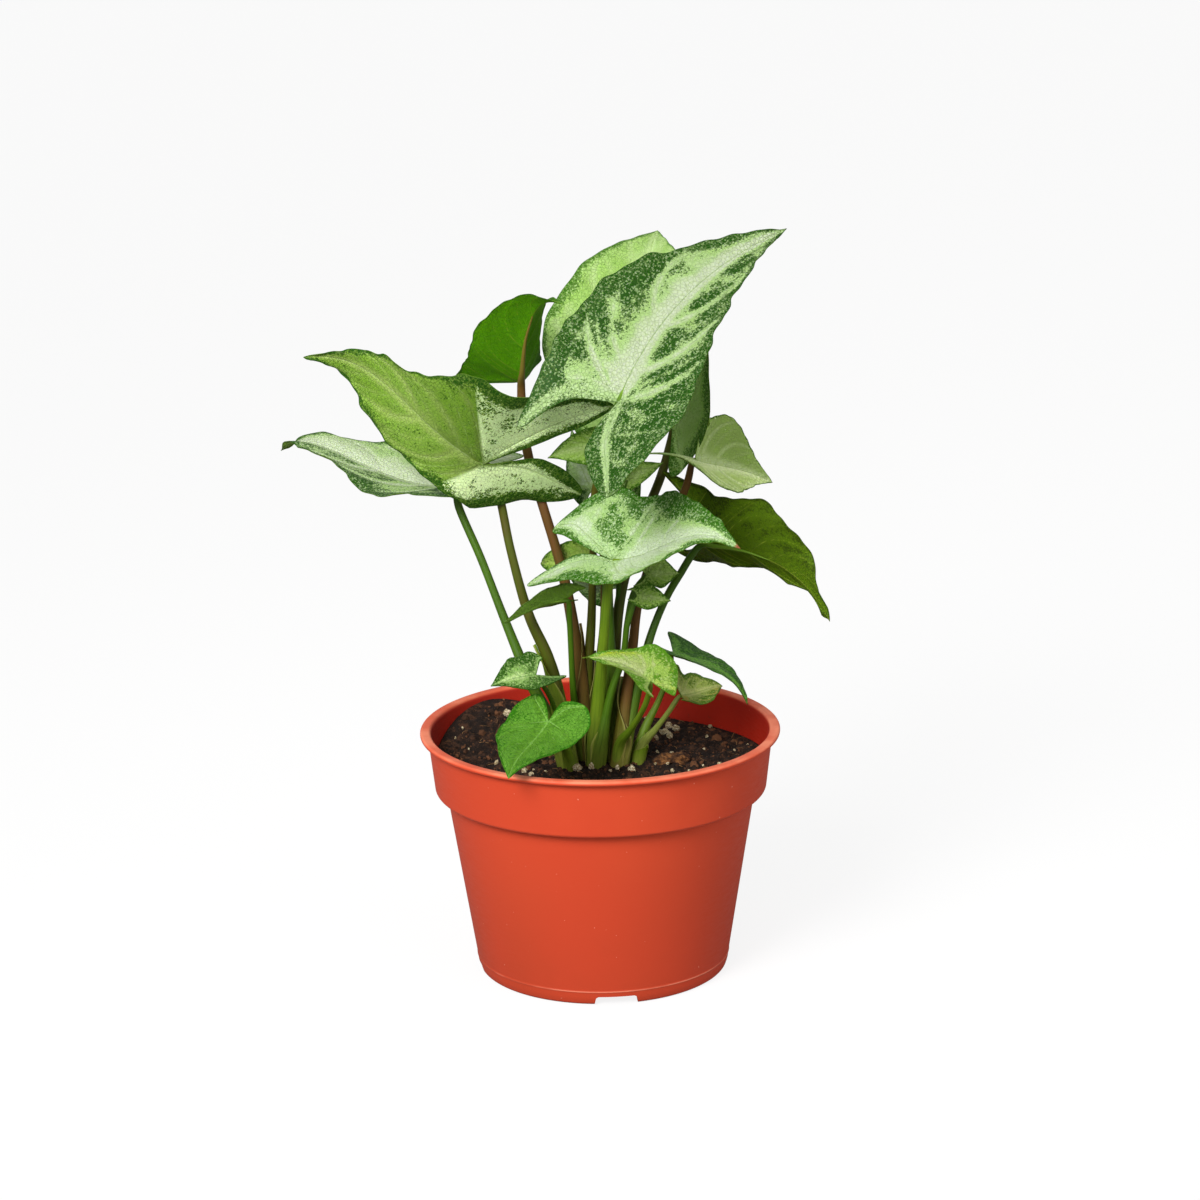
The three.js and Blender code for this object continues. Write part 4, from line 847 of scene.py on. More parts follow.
# heights of foot and tip, degrees it wraps at the foot, where it opens (0 right, -90 front), lift
sheaths = {
    "broad": dict(low=86, high=146, wrap=300, opens=20, lift=1.3, tone="bright"),
    "outer": dict(low=86, high=122, wrap=260, opens=-20, lift=0.8, tone="green"),
    "upright": dict(low=86, high=150, wrap=290, opens=170, lift=0.9, tone="brown"),
    "shade": dict(low=86, high=138, wrap=260, opens=200, lift=0.8, tone="olive"),
    "front": dict(low=86, high=123, wrap=290, opens=-150, lift=1.2, tone="bright"),
    "tall": dict(low=86, high=126, wrap=270, opens=-60, lift=1.2, tone="bright"),
    "rear": dict(low=86, high=118, wrap=270, opens=-100, lift=1.1, tone="bright"),
    "side": dict(low=86, high=128, wrap=290, opens=-30, lift=1.2, tone="olive"),
    "hanging": dict(low=86, high=120, wrap=280, opens=-10, lift=1.3, tone="olive"),
    "drip": dict(low=86, high=104, wrap=280, opens=90, lift=0.8, tone="bright"),
    "paleLow": dict(low=86, high=101, wrap=290, opens=120, lift=0.9, tone="bright"),
}


def sheathMesh(name, sheath, path, girth, material):
    keep = np.flatnonzero((path[:, 2] >= sheath["low"]) & (path[:, 2] <= sheath["high"]))
    rows = np.linspace(keep[0], keep[-1], 34)
    centre = np.stack([np.interp(rows, np.arange(len(path)), path[:, k]) for k in range(3)], 1)
    radius = np.interp(rows, np.arange(len(path)), girth)
    tangent = np.gradient(centre, axis=0)
    tangent /= np.linalg.norm(tangent, axis=1)[:, None]
    right = np.array([1.0, 0, 0]) - tangent * tangent[:, :1]
    right /= np.linalg.norm(right, axis=1)[:, None]
    back = np.cross(tangent, right)
    share = np.linspace(0, 1, len(rows))
    half = math.radians(sheath["wrap"] / 2) * (1 - smooth(0.35, 1.02, share)) + 0.08
    spread = np.linspace(-1, 1, 25)
    middle = math.radians(sheath["opens"] + 180)
    angle = middle + half[:, None] * spread
    free = sheath["lift"] * np.abs(spread) ** 5 * smooth(0.05, 0.7, share)[:, None] * (spread * 0.35 + 0.65)
    layers = []
    for gap in (0.5, 0.12):
        reach = (radius[:, None] + gap * (1 - 0.4 * np.abs(spread) ** 3) + free)[..., None]
        layers.append(centre[:, None] + right[:, None] * np.cos(angle)[..., None] * reach
                      + back[:, None] * np.sin(angle)[..., None] * reach)
    points, faces = sheetShell(*layers)
    ring = np.stack([np.cos(angle), np.sin(angle), 0 * angle], 2).reshape(-1, 3)
    edge = np.broadcast_to(np.abs(spread), angle.shape).ravel()
    values = {"along": np.tile(np.repeat(0.35 * share, len(spread)), 2), "ring": np.vstack([ring, ring]),
              "edge": np.tile(edge, 2)}
    return newMesh(name, points, faces, [material], None, values)


stalkMaterials = {tone: stalkMaterial(f"stalk_{tone}", *colours) for tone, colours in stalkTones.items()}
sheathMaterials = {tone: stalkMaterial(f"sheath_{tone}", *colours, paleEdge=True)
                   for tone, colours in stalkTones.items()}
for shootName, shoot in shoots.items():
    slotName = "brown_stalk" if shootName in ("back", "right") else "stalk"
    for order, (stalkName, (through, radii)) in enumerate(shoot["stalks"].items()):
        swell = shoot["radius"] * (0.84 if order < 2 else 0.6)
        path, girth, onLeaf = stalkPath(shoot["foot"], through, radii, stalkName, swell)
        name = f"stalk_{stalkName}"
        tube = grow(name, pathMesh(name, path, girth, onLeaf), stalkTube,
                    {"Sides": stalkBuild["sides"], "Material": stalkMaterials[stalkFinishes[stalkName]]})
        addPiece(name, tube, slotName, f"shoot_{shootName}")
        if stalkName in sheaths:
            sheath = sheaths[stalkName]
            name = f"sheath_{stalkName}"
            mesh = sheathMesh(name, sheath, path, girth, sheathMaterials[sheath["tone"]])
            addPiece(name, mesh, slotName, f"shoot_{shootName}")
print("stalks and sheaths made")


potBuild = {"sides": 176, "notchCount": 4, "notchWidth": 18.6, "notchTurn": 5.7, "notchReach": (44, 58),
            "drainCount": 6, "drainRadius": 5, "drainCircle": 36, "drainReach": (2, 8), "wall": 1.2,
            "sharpFrom": 42}  # reach: radii of the notches, heights of the drain holes
potCollar = {"foot": (70.1, 79), "top": (72.4, 100.5)}  # outside radius and height; the soil follows it
# radius, height and rounding of each corner of the wall, up the outside and down the inside
potProfile = [(0, 4, 0), (48.9, 4, 0.4), (48.9, 0, 0.4), (51.5, 0, 0.6), (52.7, 0.8, 0.6), (53.44, 3, 1),
              (53.8, 5.6, 0.1), (54.02, 6.0, 0.1), (54.02, 6.4, 0.1), (53.94, 6.8, 0.1),
              (65.31, 78.4, 0.8), (66.0, 79, 0.5), (69.3, 79, 0.7), (70.1, 79.9, 0.6), (72.75, 102.7, 0.5),
              (75.3, 102.9, 0.4), (76, 103.5, 0.4), (76, 104.4, 0.5), (75.3, 105, 0.5), (72.0, 105, 1.2),
              (71.2, 103.6, 1.5), (69.04, 80.2, 0.8), (64.39, 80.2, 1.5), (52.98, 7.7, 2), (50.59, 5.2, 2),
              (0, 5.2, 0)]
potFinish = {"colour": (200, 70, 40), "footPaintedShade": 0.86, "cloud": (190, 62, 36), "scuff": (226, 112, 80),
             "inside": (150, 14, 6), "dust": (70, 38, 24), "mouldLine": (240, 160, 130),
             "paintedLipHighlight": (238, 146, 112), "speck": (245, 190, 165), "specular": 0.16, "roughness": 0.5,
             "worn": (0.44, 0.58)}  # worn: roughness between clean and scuffed
# where each tone comes in or goes: heights in metres, inside: radius of the wall at the foot and its slope
potBands = {"foot": (0.0, 0.1), "inside": (0.0616, 0.1), "step": (0.083, 0.085), "underLip": (0.1034, 0.1046),
            "dust": (0.09, 0.1), "mouldLine": 0.0062, "paintedLipHighlight": (0.1038, 0.1048)}
potGrain = {"clouds": 22, "scuffs": 160, "dust": 420, "mouldLine": 45, "paintedLipHighlight": 60, "specks": 700, "skin": 2600}


def rounded(profile, steps=5):
    corners = np.array([corner[:2] for corner in profile], float)
    path = [corners[0]]
    for i in range(1, len(corners) - 1):
        back, ahead = corners[i - 1] - corners[i], corners[i + 1] - corners[i]
        reach = min(profile[i][2], 0.45 * np.linalg.norm(back), 0.45 * np.linalg.norm(ahead))
        start = corners[i] + back / np.linalg.norm(back) * reach
        end = corners[i] + ahead / np.linalg.norm(ahead) * reach
        for share in np.linspace(0, 1, steps):
            path.append((1 - share) ** 2 * start + 2 * share * (1 - share) * corners[i] + share ** 2 * end)
    return np.array([*path, corners[-1]])


def ringFaces(rings, sides):  # walls between rings of points, closed by fans to the two end points after them
    at = np.arange(rings * sides).reshape(rings, sides)
    nextAt = np.roll(at, -1, 1)
    faces = np.stack([at[:-1], nextAt[:-1], nextAt[1:], at[1:]], 2).reshape(-1, 4).tolist()
    faces += [(at.size, b, a) for a, b in zip(at[0], nextAt[0])]
    return faces + [(at.size + 1, a, b) for a, b in zip(at[-1], nextAt[-1])]


def latheShape(path, sides):
    turn = np.linspace(0, 2 * np.pi, sides, endpoint=False)
    rings = path[1:-1]
    points = np.stack([rings[:, :1] * np.cos(turn), rings[:, :1] * np.sin(turn),
                       np.repeat(rings[:, 1:], sides, 1)], 2).reshape(-1, 3)
    return np.vstack([points, [(0, 0, path[0, 1]), (0, 0, path[-1, 1])]]), ringFaces(len(rings), sides)


def plasticMaterial():
    material, tree, shader = newMaterial("potPlastic", potFinish["roughness"], potFinish["specular"])
    tones = {key: linear(value) for key, value in potFinish.items() if np.size(value) == 3}
    place = objectPlace(tree)
    moved = put(tree, "ShaderNodeMapping", {"Vector": place, "Location": tuple(-potAxis)}).outputs[0]
    x, y, height = put(tree, "ShaderNodeSeparateXYZ", {0: moved}).outputs
    flattened = put(tree, "ShaderNodeMapping", {"Vector": place, "Scale": (1, 1, 6)}).outputs[0]
    scuff = noiseOf(tree, flattened, potGrain["scuffs"], 4, 0.7)
    # painted shade: the body darkens toward the foot, away from the light above
    foot = linear(np.multiply(potFinish["colour"], potFinish["footPaintedShade"]))
    colour = blend(tree, between(tree, height, *potBands["foot"]), foot, tones["colour"])
    cloud = noiseOf(tree, place, potGrain["clouds"], 3)
    colour = blend(tree, between(tree, cloud, 0.3, 0.7, 0.0, 0.5), colour, tones["cloud"])
    colour = blend(tree, between(tree, scuff, 0.68, 0.8, 0.0, 0.3), colour, tones["scuff"])
    # the inside is painted darker as painted shade in the pot's hollow, with soil dust low on it
    outwards = put(tree, "ShaderNodeCombineXYZ", {0: x, 1: y}).outputs[0]
    reach = put(tree, "ShaderNodeVectorMath", {0: outwards}, operation="LENGTH").outputs["Value"]
    wall = plus(tree, potBands["inside"][0], times(tree, height, potBands["inside"][1]))
    inside = times(tree, between(tree, minus(tree, reach, wall), -0.0003, 0.0003, 1.0, 0.0),
                   between(tree, height, *potBands["step"]),
                   between(tree, height, *potBands["underLip"], 1.0, 0.0))
    colour = blend(tree, times(tree, inside, 0.8), colour, tones["inside"])
    dust = times(tree, between(tree, noiseOf(tree, place, potGrain["dust"], 3, 0.7), 0.6, 0.7),
                 between(tree, height, *potBands["dust"], 0.45, 0.0))
    colour = blend(tree, times(tree, dust, inside), colour, tones["dust"])
    # worn mould line low on the body, painted highlight along the top of the lip, pale specks
    fromLine = maths(tree, "ABSOLUTE", minus(tree, height, potBands["mouldLine"]))
    line = times(tree, between(tree, fromLine, 0.0001, 0.0004, 1.0, 0.0),
                 between(tree, noiseOf(tree, place, potGrain["mouldLine"], 2), 0.42, 0.6, 0.05, 0.4))
    colour = blend(tree, line, colour, tones["mouldLine"])
    paintedLipHighlight = times(tree, between(tree, height, *potBands["paintedLipHighlight"]),
                between(tree, noiseOf(tree, place, potGrain["paintedLipHighlight"], 3), 0.3, 0.7, 0.2, 0.7))
    colour = blend(tree, paintedLipHighlight, colour, tones["paintedLipHighlight"])
    specks = between(tree, noiseOf(tree, place, potGrain["specks"], 1), 0.79, 0.82, 0.0, 0.35)
    colour = blend(tree, specks, colour, tones["speck"])
    tree.links.new(colour, shader.inputs["Base Color"])
    tree.links.new(between(tree, scuff, 0.3, 0.8, *potFinish["worn"]), shader.inputs["Roughness"])
    bump(tree, shader, noiseOf(tree, place, potGrain["skin"], 2), 0.00003, 0.5)
    return material


def aboutZ(points, turn):  # turned about the upright axis
    spin = np.array([[math.cos(turn), -math.sin(turn), 0], [math.sin(turn), math.cos(turn), 0], [0, 0, 1]])
    return points @ spin.T


def potMesh():
    points, faces = latheShape(rounded(potProfile), potBuild["sides"])
    body = addObject("potBody", newMesh("potBody", points, faces, [plasticMaterial()]))
    cutters = []

    def cut(name, outline, low, high, turn=None):  # a prism of the outline, raised, or laid out at a turn
        count = len(outline)
        if turn is None:
            solid = np.vstack([np.column_stack([outline, np.full(count, at)]) for at in (low, high)])
        else:
            solid = np.vstack([np.column_stack([np.full(count, at), outline]) for at in (low, high)])
            solid = aboutZ(solid, turn)
        sides = [(i, (i + 1) % count, count + (i + 1) % count, count + i) for i in range(count)]
        ends = [tuple(reversed(range(count))), tuple(range(count, 2 * count))]
        modifier = body.modifiers.new(name, "BOOLEAN")
        modifier.object, modifier.solver = addObject(name, newMesh(name, solid, ends + sides, [])), "EXACT"
        cutters.append(modifier.object)

    wide = potBuild["notchWidth"] / 2
    notch = [(-wide, -1), (wide, -1), (wide - 0.6, 2.7), (wide - 0.9, 3.4), (wide - 1.8, 3.9),
             (1.8 - wide, 3.9), (0.9 - wide, 3.4), (0.6 - wide, 2.7)]
    for i in range(potBuild["notchCount"]):
        turn = -math.pi / 2 + math.radians(potBuild["notchTurn"]) + 2 * math.pi * i / potBuild["notchCount"]
        cut(f"notch{i}", notch, *potBuild["notchReach"], turn)
    spin = np.linspace(0, 2 * np.pi, 36, endpoint=False)
    for i in range(potBuild["drainCount"]):
        turn = 2 * math.pi * (i + 0.5) / potBuild["drainCount"]
        centre = potBuild["drainCircle"] * np.array([math.cos(turn), math.sin(turn)])
        circle = centre + potBuild["drainRadius"] * np.column_stack([np.cos(spin), np.sin(spin)])
        cut(f"drain{i}", circle, *potBuild["drainReach"])
    result = bpy.data.meshes.new_from_object(body.evaluated_get(bpy.context.evaluated_depsgraph_get()))
    for helper in (*cutters, body):
        bpy.data.objects.remove(helper)
    result.name = "potShell"
    result.shade_smooth()
    result.set_sharp_from_angle(angle=math.radians(potBuild["sharpFrom"]))
    return result


addPiece("potShell", potMesh(), "pot", "pot")
print("pot made")


soilBuild = {"middle": 90, "rim": (91, 89, 88, 102, 92, 91, 90, 90), "lumpHeight": 1.3, "lumpLength": 13,
             "gap": 0.35, "reach": 69, "calmRim": 14, "rings": 110, "sides": 300}
soilUnderside = [(50.4, 5.55), (51.7, 8.2), (64.0, 80.55), (68.75, 80.55)]  # radius and height
soilFinish = {"roughness": 0.92, "specular": 0.25, "patches": 260, "grain": 1500, "fleck": (128, 92, 62),
              "peat": ((24, 14, 8), (68, 43, 28)), "crumbs": ((26, 15, 9), (104, 67, 42)),
              "fibres": ((34, 21, 13), (150, 110, 68)), "bark": ((52, 30, 16), (138, 92, 50)),
              "perlite": ((140, 120, 84), (222, 212, 180))}
strewn = {  # kind, how many on a square metre, smallest and largest in mm, seed
    "soilCrumbs": ("crumbs", 95000, 0.5, 1.4, 7), "soilLumps": ("crumbs", 20000, 1.2, 2.8, 11),
    "soilChunks": ("crumbs", 3200, 2.4, 4.6, 3), "soilFibres": ("fibres", 26000, 1.6, 4.2, 21),
}
perliteBuild = {"detail": 3, "roughness": 1.2, "seed": 5, "proud": 0.2, "pits": 1700, "matt": 0.85,
                "shine": 0.3}
perlite = [  # place on the soil and size
    (-40, 40, 3.8), (-44, -6, 2.6), (-30, -5, 4.6), (-32, -17, 3), (-29, -20, 2.2), (-28, -13, 1.8),
    (-10, -13, 4.3), (-4, -13, 3), (-51, 20, 1), (-43, 48, 1), (2, 12, 3.8), (7, -14, 2.2), (4, -16, 1.4),
    (13, -16, 4.2), (17, -2, 3), (22, 33, 2.6), (24, 29, 3), (28, 36, 4.2), (30, 46, 3.4), (33, 42, 3.2),
    (30, 30, 3), (24, 6, 2.2), (30, 7, 2.2), (23, -9, 1.4), (28, -10, 1.7), (30, -18, 1.7), (46, 31, 1.4),
    (63, 17, 1), (50, -13, 2.2), (44, 10, 1.4), (43, -11, 1.4), (-62, 20, 1.2), (-56, 8, 1.2), (-59, 26, 1.3),
    (-23, -17, 1.3), (-19, 1, 1.2), (57, 7, 1.2), (37, -16, 1.3), (-20, 50, 2.6), (-2, 58, 1.8), (12, 52, 3),
    (-30, 60, 1.6), (48, 48, 2.2), (-58, -22, 2), (-12, 34, 2.4), (8, 30, 1.6), (-26, 26, 2), (56, -24, 1.8),
    (-48, -34, 2.2), (20, 62, 1.4)]


def collarRadius(z):
    (footRadius, foot), (topRadius, top) = potCollar["foot"], potCollar["top"]
    return footRadius + (topRadius - footRadius) * (z - foot) / (top - foot)


def soilTop(angle, share):
    rim = np.array(soilBuild["rim"], float)
    place = (angle / (2 * np.pi)) % 1 * len(rim)
    low = np.floor(place).astype(int)
    wall = rim[low % len(rim)] + (rim[(low + 1) % len(rim)] - rim[low % len(rim)]) * smooth(0, 1, place - low)
    reach = collarRadius(wall) * share
    x, y = (2 * np.pi * reach * np.cos(angle) / soilBuild["lumpLength"],
            2 * np.pi * reach * np.sin(angle) / soilBuild["lumpLength"])
    lump = np.sin(x + 1.3) * np.sin(y + 0.7) + 0.5 * np.sin(2.3 * x - 1.9 * y)
    height = (soilBuild["middle"] + (wall - soilBuild["middle"]) * share ** 1.7
              + soilBuild["lumpHeight"] * lump * share * (1 - share ** 6))
    return wall, height


def crumbled(point):  # unevenness of the surface, in mm
    at = Vector(point)
    return (1.6 * noise.noise(at * 0.13) + 1.3 * noise.noise(at * 0.3) + 0.9 * abs(noise.noise(at * 0.62))
            + 0.6 * noise.noise(at * 1.25))


def soilPlace(x, y, above):
    angle = math.atan2(y, x)
    share = min(math.hypot(x, y) / soilBuild["reach"], 1.0)
    height = soilTop(np.array([angle]), np.array([share]))[1][0]
    return x, y, height + crumbled((x, y, height)) * (1 - share ** soilBuild["calmRim"]) + above


# toned: each grain has its own share of light; else the light comes in patches
def soilMaterial(name, toned=True):
    material, tree, shader = newMaterial(name, soilFinish["roughness"], soilFinish["specular"])
    place = objectPlace(tree)
    fine = noiseOf(tree, place, soilFinish["grain"], 3, 0.6)
    if toned:
        share = attribute(tree, "tone")
    else:
        share = between(tree, noiseOf(tree, place, soilFinish["patches"], 3, 0.6), 0.38, 0.68)
    dark, light = (linear(tone) for tone in soilFinish[name])
    colour = blend(tree, maths(tree, "POWER", share, 2.2), dark, light)
    colour = blend(tree, between(tree, fine, 0.6, 0.74, 0.0, 0.55), colour, linear(soilFinish["fleck"]))
    tree.links.new(colour, shader.inputs["Base Color"])
    bump(tree, shader, fine, 0.0006, 0.8)
    return material


def soilMesh(material):
    sides, rings = soilBuild["sides"], soilBuild["rings"]
    turn = np.linspace(0, 2 * np.pi, sides, endpoint=False)
    inset = potBuild["wall"] + soilBuild["gap"]
    points = [np.column_stack([radius * np.cos(turn), radius * np.sin(turn), np.full(sides, height)])
              for radius, height in soilUnderside]
    for share in np.linspace(1, 1 / rings, rings):
        wall, height = soilTop(turn, np.full(sides, share))
        reach = (collarRadius(wall) - inset) * share
        ring = np.column_stack([reach * np.cos(turn), reach * np.sin(turn), height])
        ring[:, 2] += np.array([crumbled(point) for point in ring]) * (1 - share ** soilBuild["calmRim"])
        points.append(ring)
    surface = np.zeros(len(points) * sides + 2)
    surface[(len(soilUnderside) + 3) * sides:-2] = 1  # where grains are strewn: not on the outermost rings
    faces = ringFaces(len(points), sides)
    points = np.vstack([*points, [(0, 0, soilUnderside[0][1]), (0, 0, soilBuild["middle"])]])
    return newMesh("soilBed", points, faces, [material], None, {"surface": surface})


def roughBall(tree, detail, roughness, frequency):
    ball = put(tree, "GeometryNodeMeshIcoSphere", {"Radius": 1.0, "Subdivisions": detail}).outputs[0]
    place = put(tree, "GeometryNodeInputPosition").outputs[0]
    rough = put(tree, "ShaderNodeTexNoise", {"Vector": place, "Scale": frequency, "Detail": 2.0})
    shift = put(tree, "ShaderNodeVectorMath", {0: rough.outputs["Color"], 1: (-0.5, -0.5, -0.5)}).outputs[0]
    return put(tree, "GeometryNodeSetPosition", {"Geometry": ball,
                                                 "Offset": scaled(tree, shift, roughness)}).outputs[0]


def crumbShape(tree):
    return roughBall(tree, detail=1, roughness=1.2, frequency=1.3)


def fibreShape(tree):  # a short bent fibre, lying along X
    bow = put(tree, "GeometryNodeCurveQuadraticBezier", {"Resolution": 6, "Start": (-1, 0, -0.1),
                                                         "Middle": (0.1, 0.5, 0.35), "End": (1, -0.1, 0)})
    profile = put(tree, "GeometryNodeCurvePrimitiveCircle", {"Resolution": 4, "Radius": 0.055})
    return put(tree, "GeometryNodeCurveToMesh", {"Curve": bow.outputs[0], "Profile Curve": profile.outputs[0],
                                                 "Fill Caps": True}).outputs[0]


# real copies, each with its own tone
def laidOut(tree, out, points, shape, size, squat, spin, material, seed):
    scale = scaled(tree, randomVector(tree, *squat, seed), size)
    laid = put(tree, "GeometryNodeInstanceOnPoints", {
        "Points": points, "Instance": shape, "Rotation": randomVector(tree, *spin, seed), "Scale": scale})
    tone = put(tree, "FunctionNodeRandomValue", {"Seed": seed}, data_type="FLOAT").outputs[1]
    laid = put(tree, "GeometryNodeStoreNamedAttribute", {"Geometry": laid.outputs[0], "Name": "tone",
                                                         "Value": tone}, data_type="FLOAT", domain="INSTANCE")
    real = put(tree, "GeometryNodeRealizeInstances", {0: laid.outputs[0]}).outputs[0]
    done = put(tree, "GeometryNodeSetMaterial", {0: real, "Material": material}).outputs[0]
    tree.links.new(done, out["Geometry"])


def randomVector(tree, low, high, seed):
    drawn = put(tree, "FunctionNodeRandomValue", {0: low, 1: high, "Seed": seed}, data_type="FLOAT_VECTOR")
    return drawn.outputs[0]


def buildStrewn(name, shapeOf, squat, spin):  # shapes strewn over the surface; squat and spin: least and most
    tree, given, out = newGroup(name, "GeometryNodeTree", [
        ("Geometry", "NodeSocketGeometry", None), ("Density", "NodeSocketFloat", 1000.0),
        ("Smallest", "NodeSocketFloat", 0.0005), ("Largest", "NodeSocketFloat", 0.001),
        ("Seed", "NodeSocketInt", 0), ("Material", "NodeSocketMaterial", None)],
        [("Geometry", "NodeSocketGeometry")])
    surface = put(tree, "GeometryNodeInputNamedAttribute", {"Name": "surface"}).outputs[0]
    spots = put(tree, "GeometryNodeDistributePointsOnFaces", {
        "Mesh": given["Geometry"], "Density": given["Density"], "Seed": given["Seed"], "Selection": surface})
    size = put(tree, "FunctionNodeRandomValue", {2: given["Smallest"], 3: given["Largest"],
                                                 "Seed": given["Seed"]}, data_type="FLOAT").outputs[1]
    laidOut(tree, out, spots.outputs[0], shapeOf(tree), size, squat, spin, given["Material"], given["Seed"])
    return tree


def buildPlaced():  # bigger grains at given places, as wide as their girth
    tree, given, out = newGroup("placedGrains", "GeometryNodeTree", [
        ("Geometry", "NodeSocketGeometry", None), ("Detail", "NodeSocketInt", 3),
        ("Roughness", "NodeSocketFloat", 0.9), ("Seed", "NodeSocketInt", 0),
        ("Material", "NodeSocketMaterial", None)], [("Geometry", "NodeSocketGeometry")])
    girth = put(tree, "GeometryNodeInputNamedAttribute", {"Name": "girth"}).outputs[0]
    ball = roughBall(tree, given["Detail"], given["Roughness"], frequency=1.5)
    laidOut(tree, out, given["Geometry"], ball, girth, ((0.85, 0.8, 0.6), (1.15, 1.1, 0.9)), anyTurn,
            given["Material"], given["Seed"])
    return tree


def grainMaterial(name):
    material, tree, shader = newMaterial(name, perliteBuild["matt"], perliteBuild["shine"])
    shade, light = (linear(tone) for tone in soilFinish[name])
    pits = noiseOf(tree, objectPlace(tree), perliteBuild["pits"], 3, 0.6)
    colour = blend(tree, between(tree, pits, 0.42, 0.62), shade, light)
    colour = blend(tree, times(tree, attribute(tree, "tone"), 0.45), colour, shade)
    tree.links.new(colour, shader.inputs["Base Color"])
    bump(tree, shader, pits, 0.0004, 0.8)
    return material


anyTurn = ((0, 0, 0), (6.28, 6.28, 6.28))
flatTurn = ((-0.5, -0.5, 0), (0.5, 0.5, 6.28))
strewnKinds = {  # how squat each is made, at least and at most along each axis
    "crumbs": buildStrewn("strewnGrains", crumbShape, ((0.35, 0.35, 0.25), (0.65, 0.55, 0.45)), anyTurn),
    "fibres": buildStrewn("strewnFibres", fibreShape, ((0.5, 0.3, 0.3), (0.6, 0.6, 0.6)), flatTurn),
}
strewnMaterials = {kind: soilMaterial(kind) for kind in strewnKinds}
soilPiece = addPiece("soilBed", soilMesh(soilMaterial("peat", toned=False)), "soil", "soil")
for name, (kind, density, smallest, largest, seed) in strewn.items():
    mesh = grow(name, soilPiece.data.copy(), strewnKinds[kind], {
        "Density": float(density), "Smallest": smallest * 0.001, "Largest": largest * 0.001, "Seed": seed,
        "Material": strewnMaterials[kind]})
    addPiece(name, mesh, "soil", "soil")
    print(name, len(mesh.polygons))
spots = [soilPlace(x, y, perliteBuild["proud"] * size) for x, y, size in perlite]
mesh = pathMesh("perlite", spots, [0.5 * size for x, y, size in perlite])
mesh = grow("perlite", mesh, buildPlaced(), {"Detail": perliteBuild["detail"], "Seed": perliteBuild["seed"],
                                             "Roughness": perliteBuild["roughness"],
                                             "Material": grainMaterial("perlite")})
addPiece("perlite", mesh, "soil", "soil")


barkBuild = {"place": (30, -5), "above": 0.9, "turn": 14, "length": 17, "width": 4.6, "height": 2.7,
             "rings": 44, "sides": 40}


def barkMesh():  # a fibrous chunk lying on the soil at the right
    path = []
    for share in np.linspace(0, 1, barkBuild["rings"] + 2)[1:-1]:
        swell = math.sin(math.pi * share) ** 0.45
        for angle in np.linspace(0, 2 * np.pi, barkBuild["sides"], endpoint=False):
            point = Vector((share * 3.2, math.cos(angle) * 1.3, math.sin(angle) * 1.3))
            rough = 1 + 0.42 * noise.noise(point * 1.3) + 0.22 * noise.noise(point * 3.4)
            rough += 0.12 * noise.noise(point * 8)
            path.append(((share - 0.5) * barkBuild["length"],
                         barkBuild["width"] * swell * rough * math.cos(angle),
                         barkBuild["height"] * swell * rough * math.sin(angle)))
    points = aboutZ(np.array(path), math.radians(barkBuild["turn"]))
    points += np.array(soilPlace(*barkBuild["place"], barkBuild["above"]))
    rings = points.reshape(barkBuild["rings"], -1, 3)
    points = np.vstack([points, rings[0].mean(0), rings[-1].mean(0)])
    faces = turned(points, ringFaces(barkBuild["rings"], barkBuild["sides"]))
    return newMesh("barkChunk", points, faces, [soilMaterial("bark", toned=False)])


addPiece("barkChunk", barkMesh(), "soil", "soil")
print("soil made")


studio = {"floor": (252, 252, 251), "reach": 60, "bounce": 0.3, "lit": 0.85, "ambient": 0.41, "backdrop": 1.0,
          "matt": 0.85, "shine": 0.1}
softBox = {"power": 2.25, "size": 0.6, "spread": 60, "place": (-0.5, -0.95, 0.86), "aim": (0, -0.03, 0.2)}
suns = {"key": dict(strength=1.2, angle=50, turn=-28, height=31),
        "fill": dict(strength=1.15, angle=60, turn=58, height=12)}

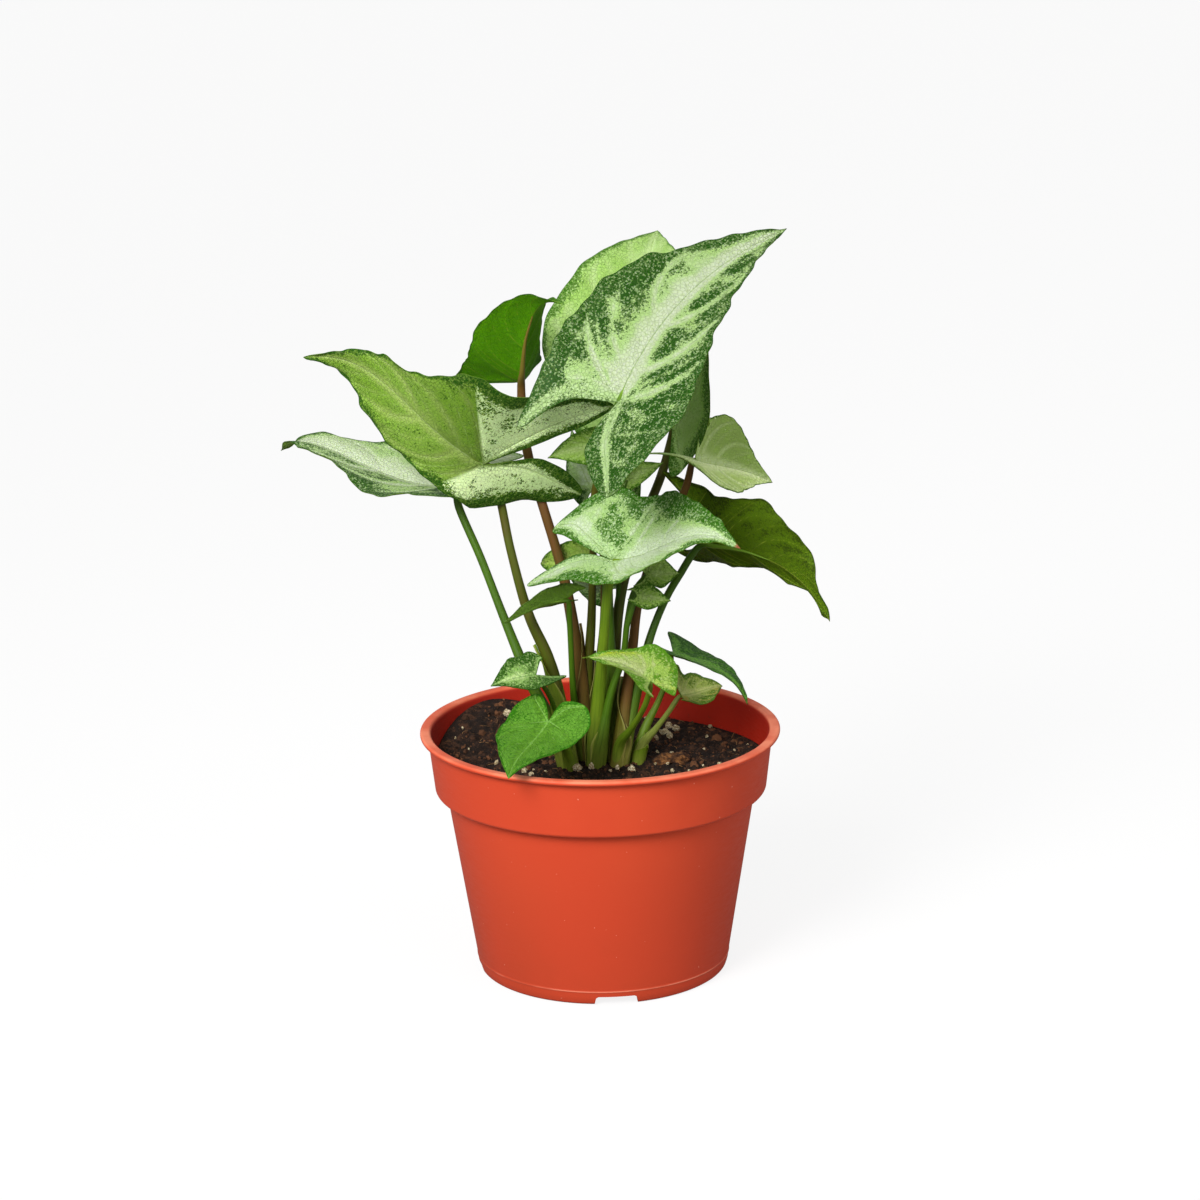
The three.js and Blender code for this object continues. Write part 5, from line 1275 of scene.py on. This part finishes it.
floorMesh = bpy.data.meshes.new("floor")
corners = [(x * studio["reach"], y * studio["reach"], 0) for x, y in ((-1, -1), (1, -1), (1, 1), (-1, 1))]
floorMesh.from_pydata(corners, [], [(0, 1, 2, 3)])
floorMaterial, floorTree, floorShader = newMaterial("floorPaper", studio["matt"], studio["shine"])
# lit paper that throws little light back
ray = put(floorTree, "ShaderNodeLightPath").outputs["Is Camera Ray"]
paper = blend(floorTree, ray, (*[studio["bounce"]] * 3, 1), linear(studio["floor"]))
floorTree.links.new(paper, floorShader.inputs["Base Color"])
lit = put(floorTree, "ShaderNodeEmission", {"Color": (1, 1, 1, 1), "Strength": 1.0})
floorMix = put(floorTree, "ShaderNodeMixShader", {0: times(floorTree, ray, studio["lit"]),
                                                  1: floorShader.outputs[0], 2: lit.outputs[0]})
floorTree.links.new(floorMix.outputs[0], floorTree.nodes["Material Output"].inputs["Surface"])
floorMesh.materials.append(floorMaterial)
floor = addObject("floor", floorMesh)

boxData = bpy.data.lights.new("softBox", "AREA")
boxData.shape, boxData.size, boxData.energy = "DISK", softBox["size"], softBox["power"]
boxData.spread = math.radians(softBox["spread"])
box = addObject("softBox", boxData)
box.location = softBox["place"]
box.rotation_euler = (Vector(softBox["place"]) - Vector(softBox["aim"])).to_track_quat("Z", "Y").to_euler()
for name, light in suns.items():
    sunData = bpy.data.lights.new(name, "SUN")
    sunData.energy, sunData.angle = light["strength"], math.radians(light["angle"])
    sun = addObject(name, sunData)
    sun.rotation_euler = (math.radians(90 - light["height"]), 0, math.radians(light["turn"]))
world = bpy.data.worlds.new("studio")
world.use_nodes = True
worldTree = world.node_tree
background = worldTree.nodes["Background"]
background.inputs["Strength"].default_value = studio["ambient"]
seen = put(worldTree, "ShaderNodeBackground", {"Strength": studio["backdrop"]})  # behind the floor's far edge
path = put(worldTree, "ShaderNodeLightPath")
for shade in (background, seen):
    shade.inputs["Color"].default_value = (1, 1, 1, 1)
mixed = put(worldTree, "ShaderNodeMixShader", {0: path.outputs["Is Camera Ray"], 1: background.outputs[0],
                                               2: seen.outputs[0]})
worldTree.links.new(mixed.outputs[0], worldTree.nodes["World Output"].inputs["Surface"])
bpy.context.scene.world = world
bpy.context.scene.view_settings.view_transform = "Standard"
print("studio lit")
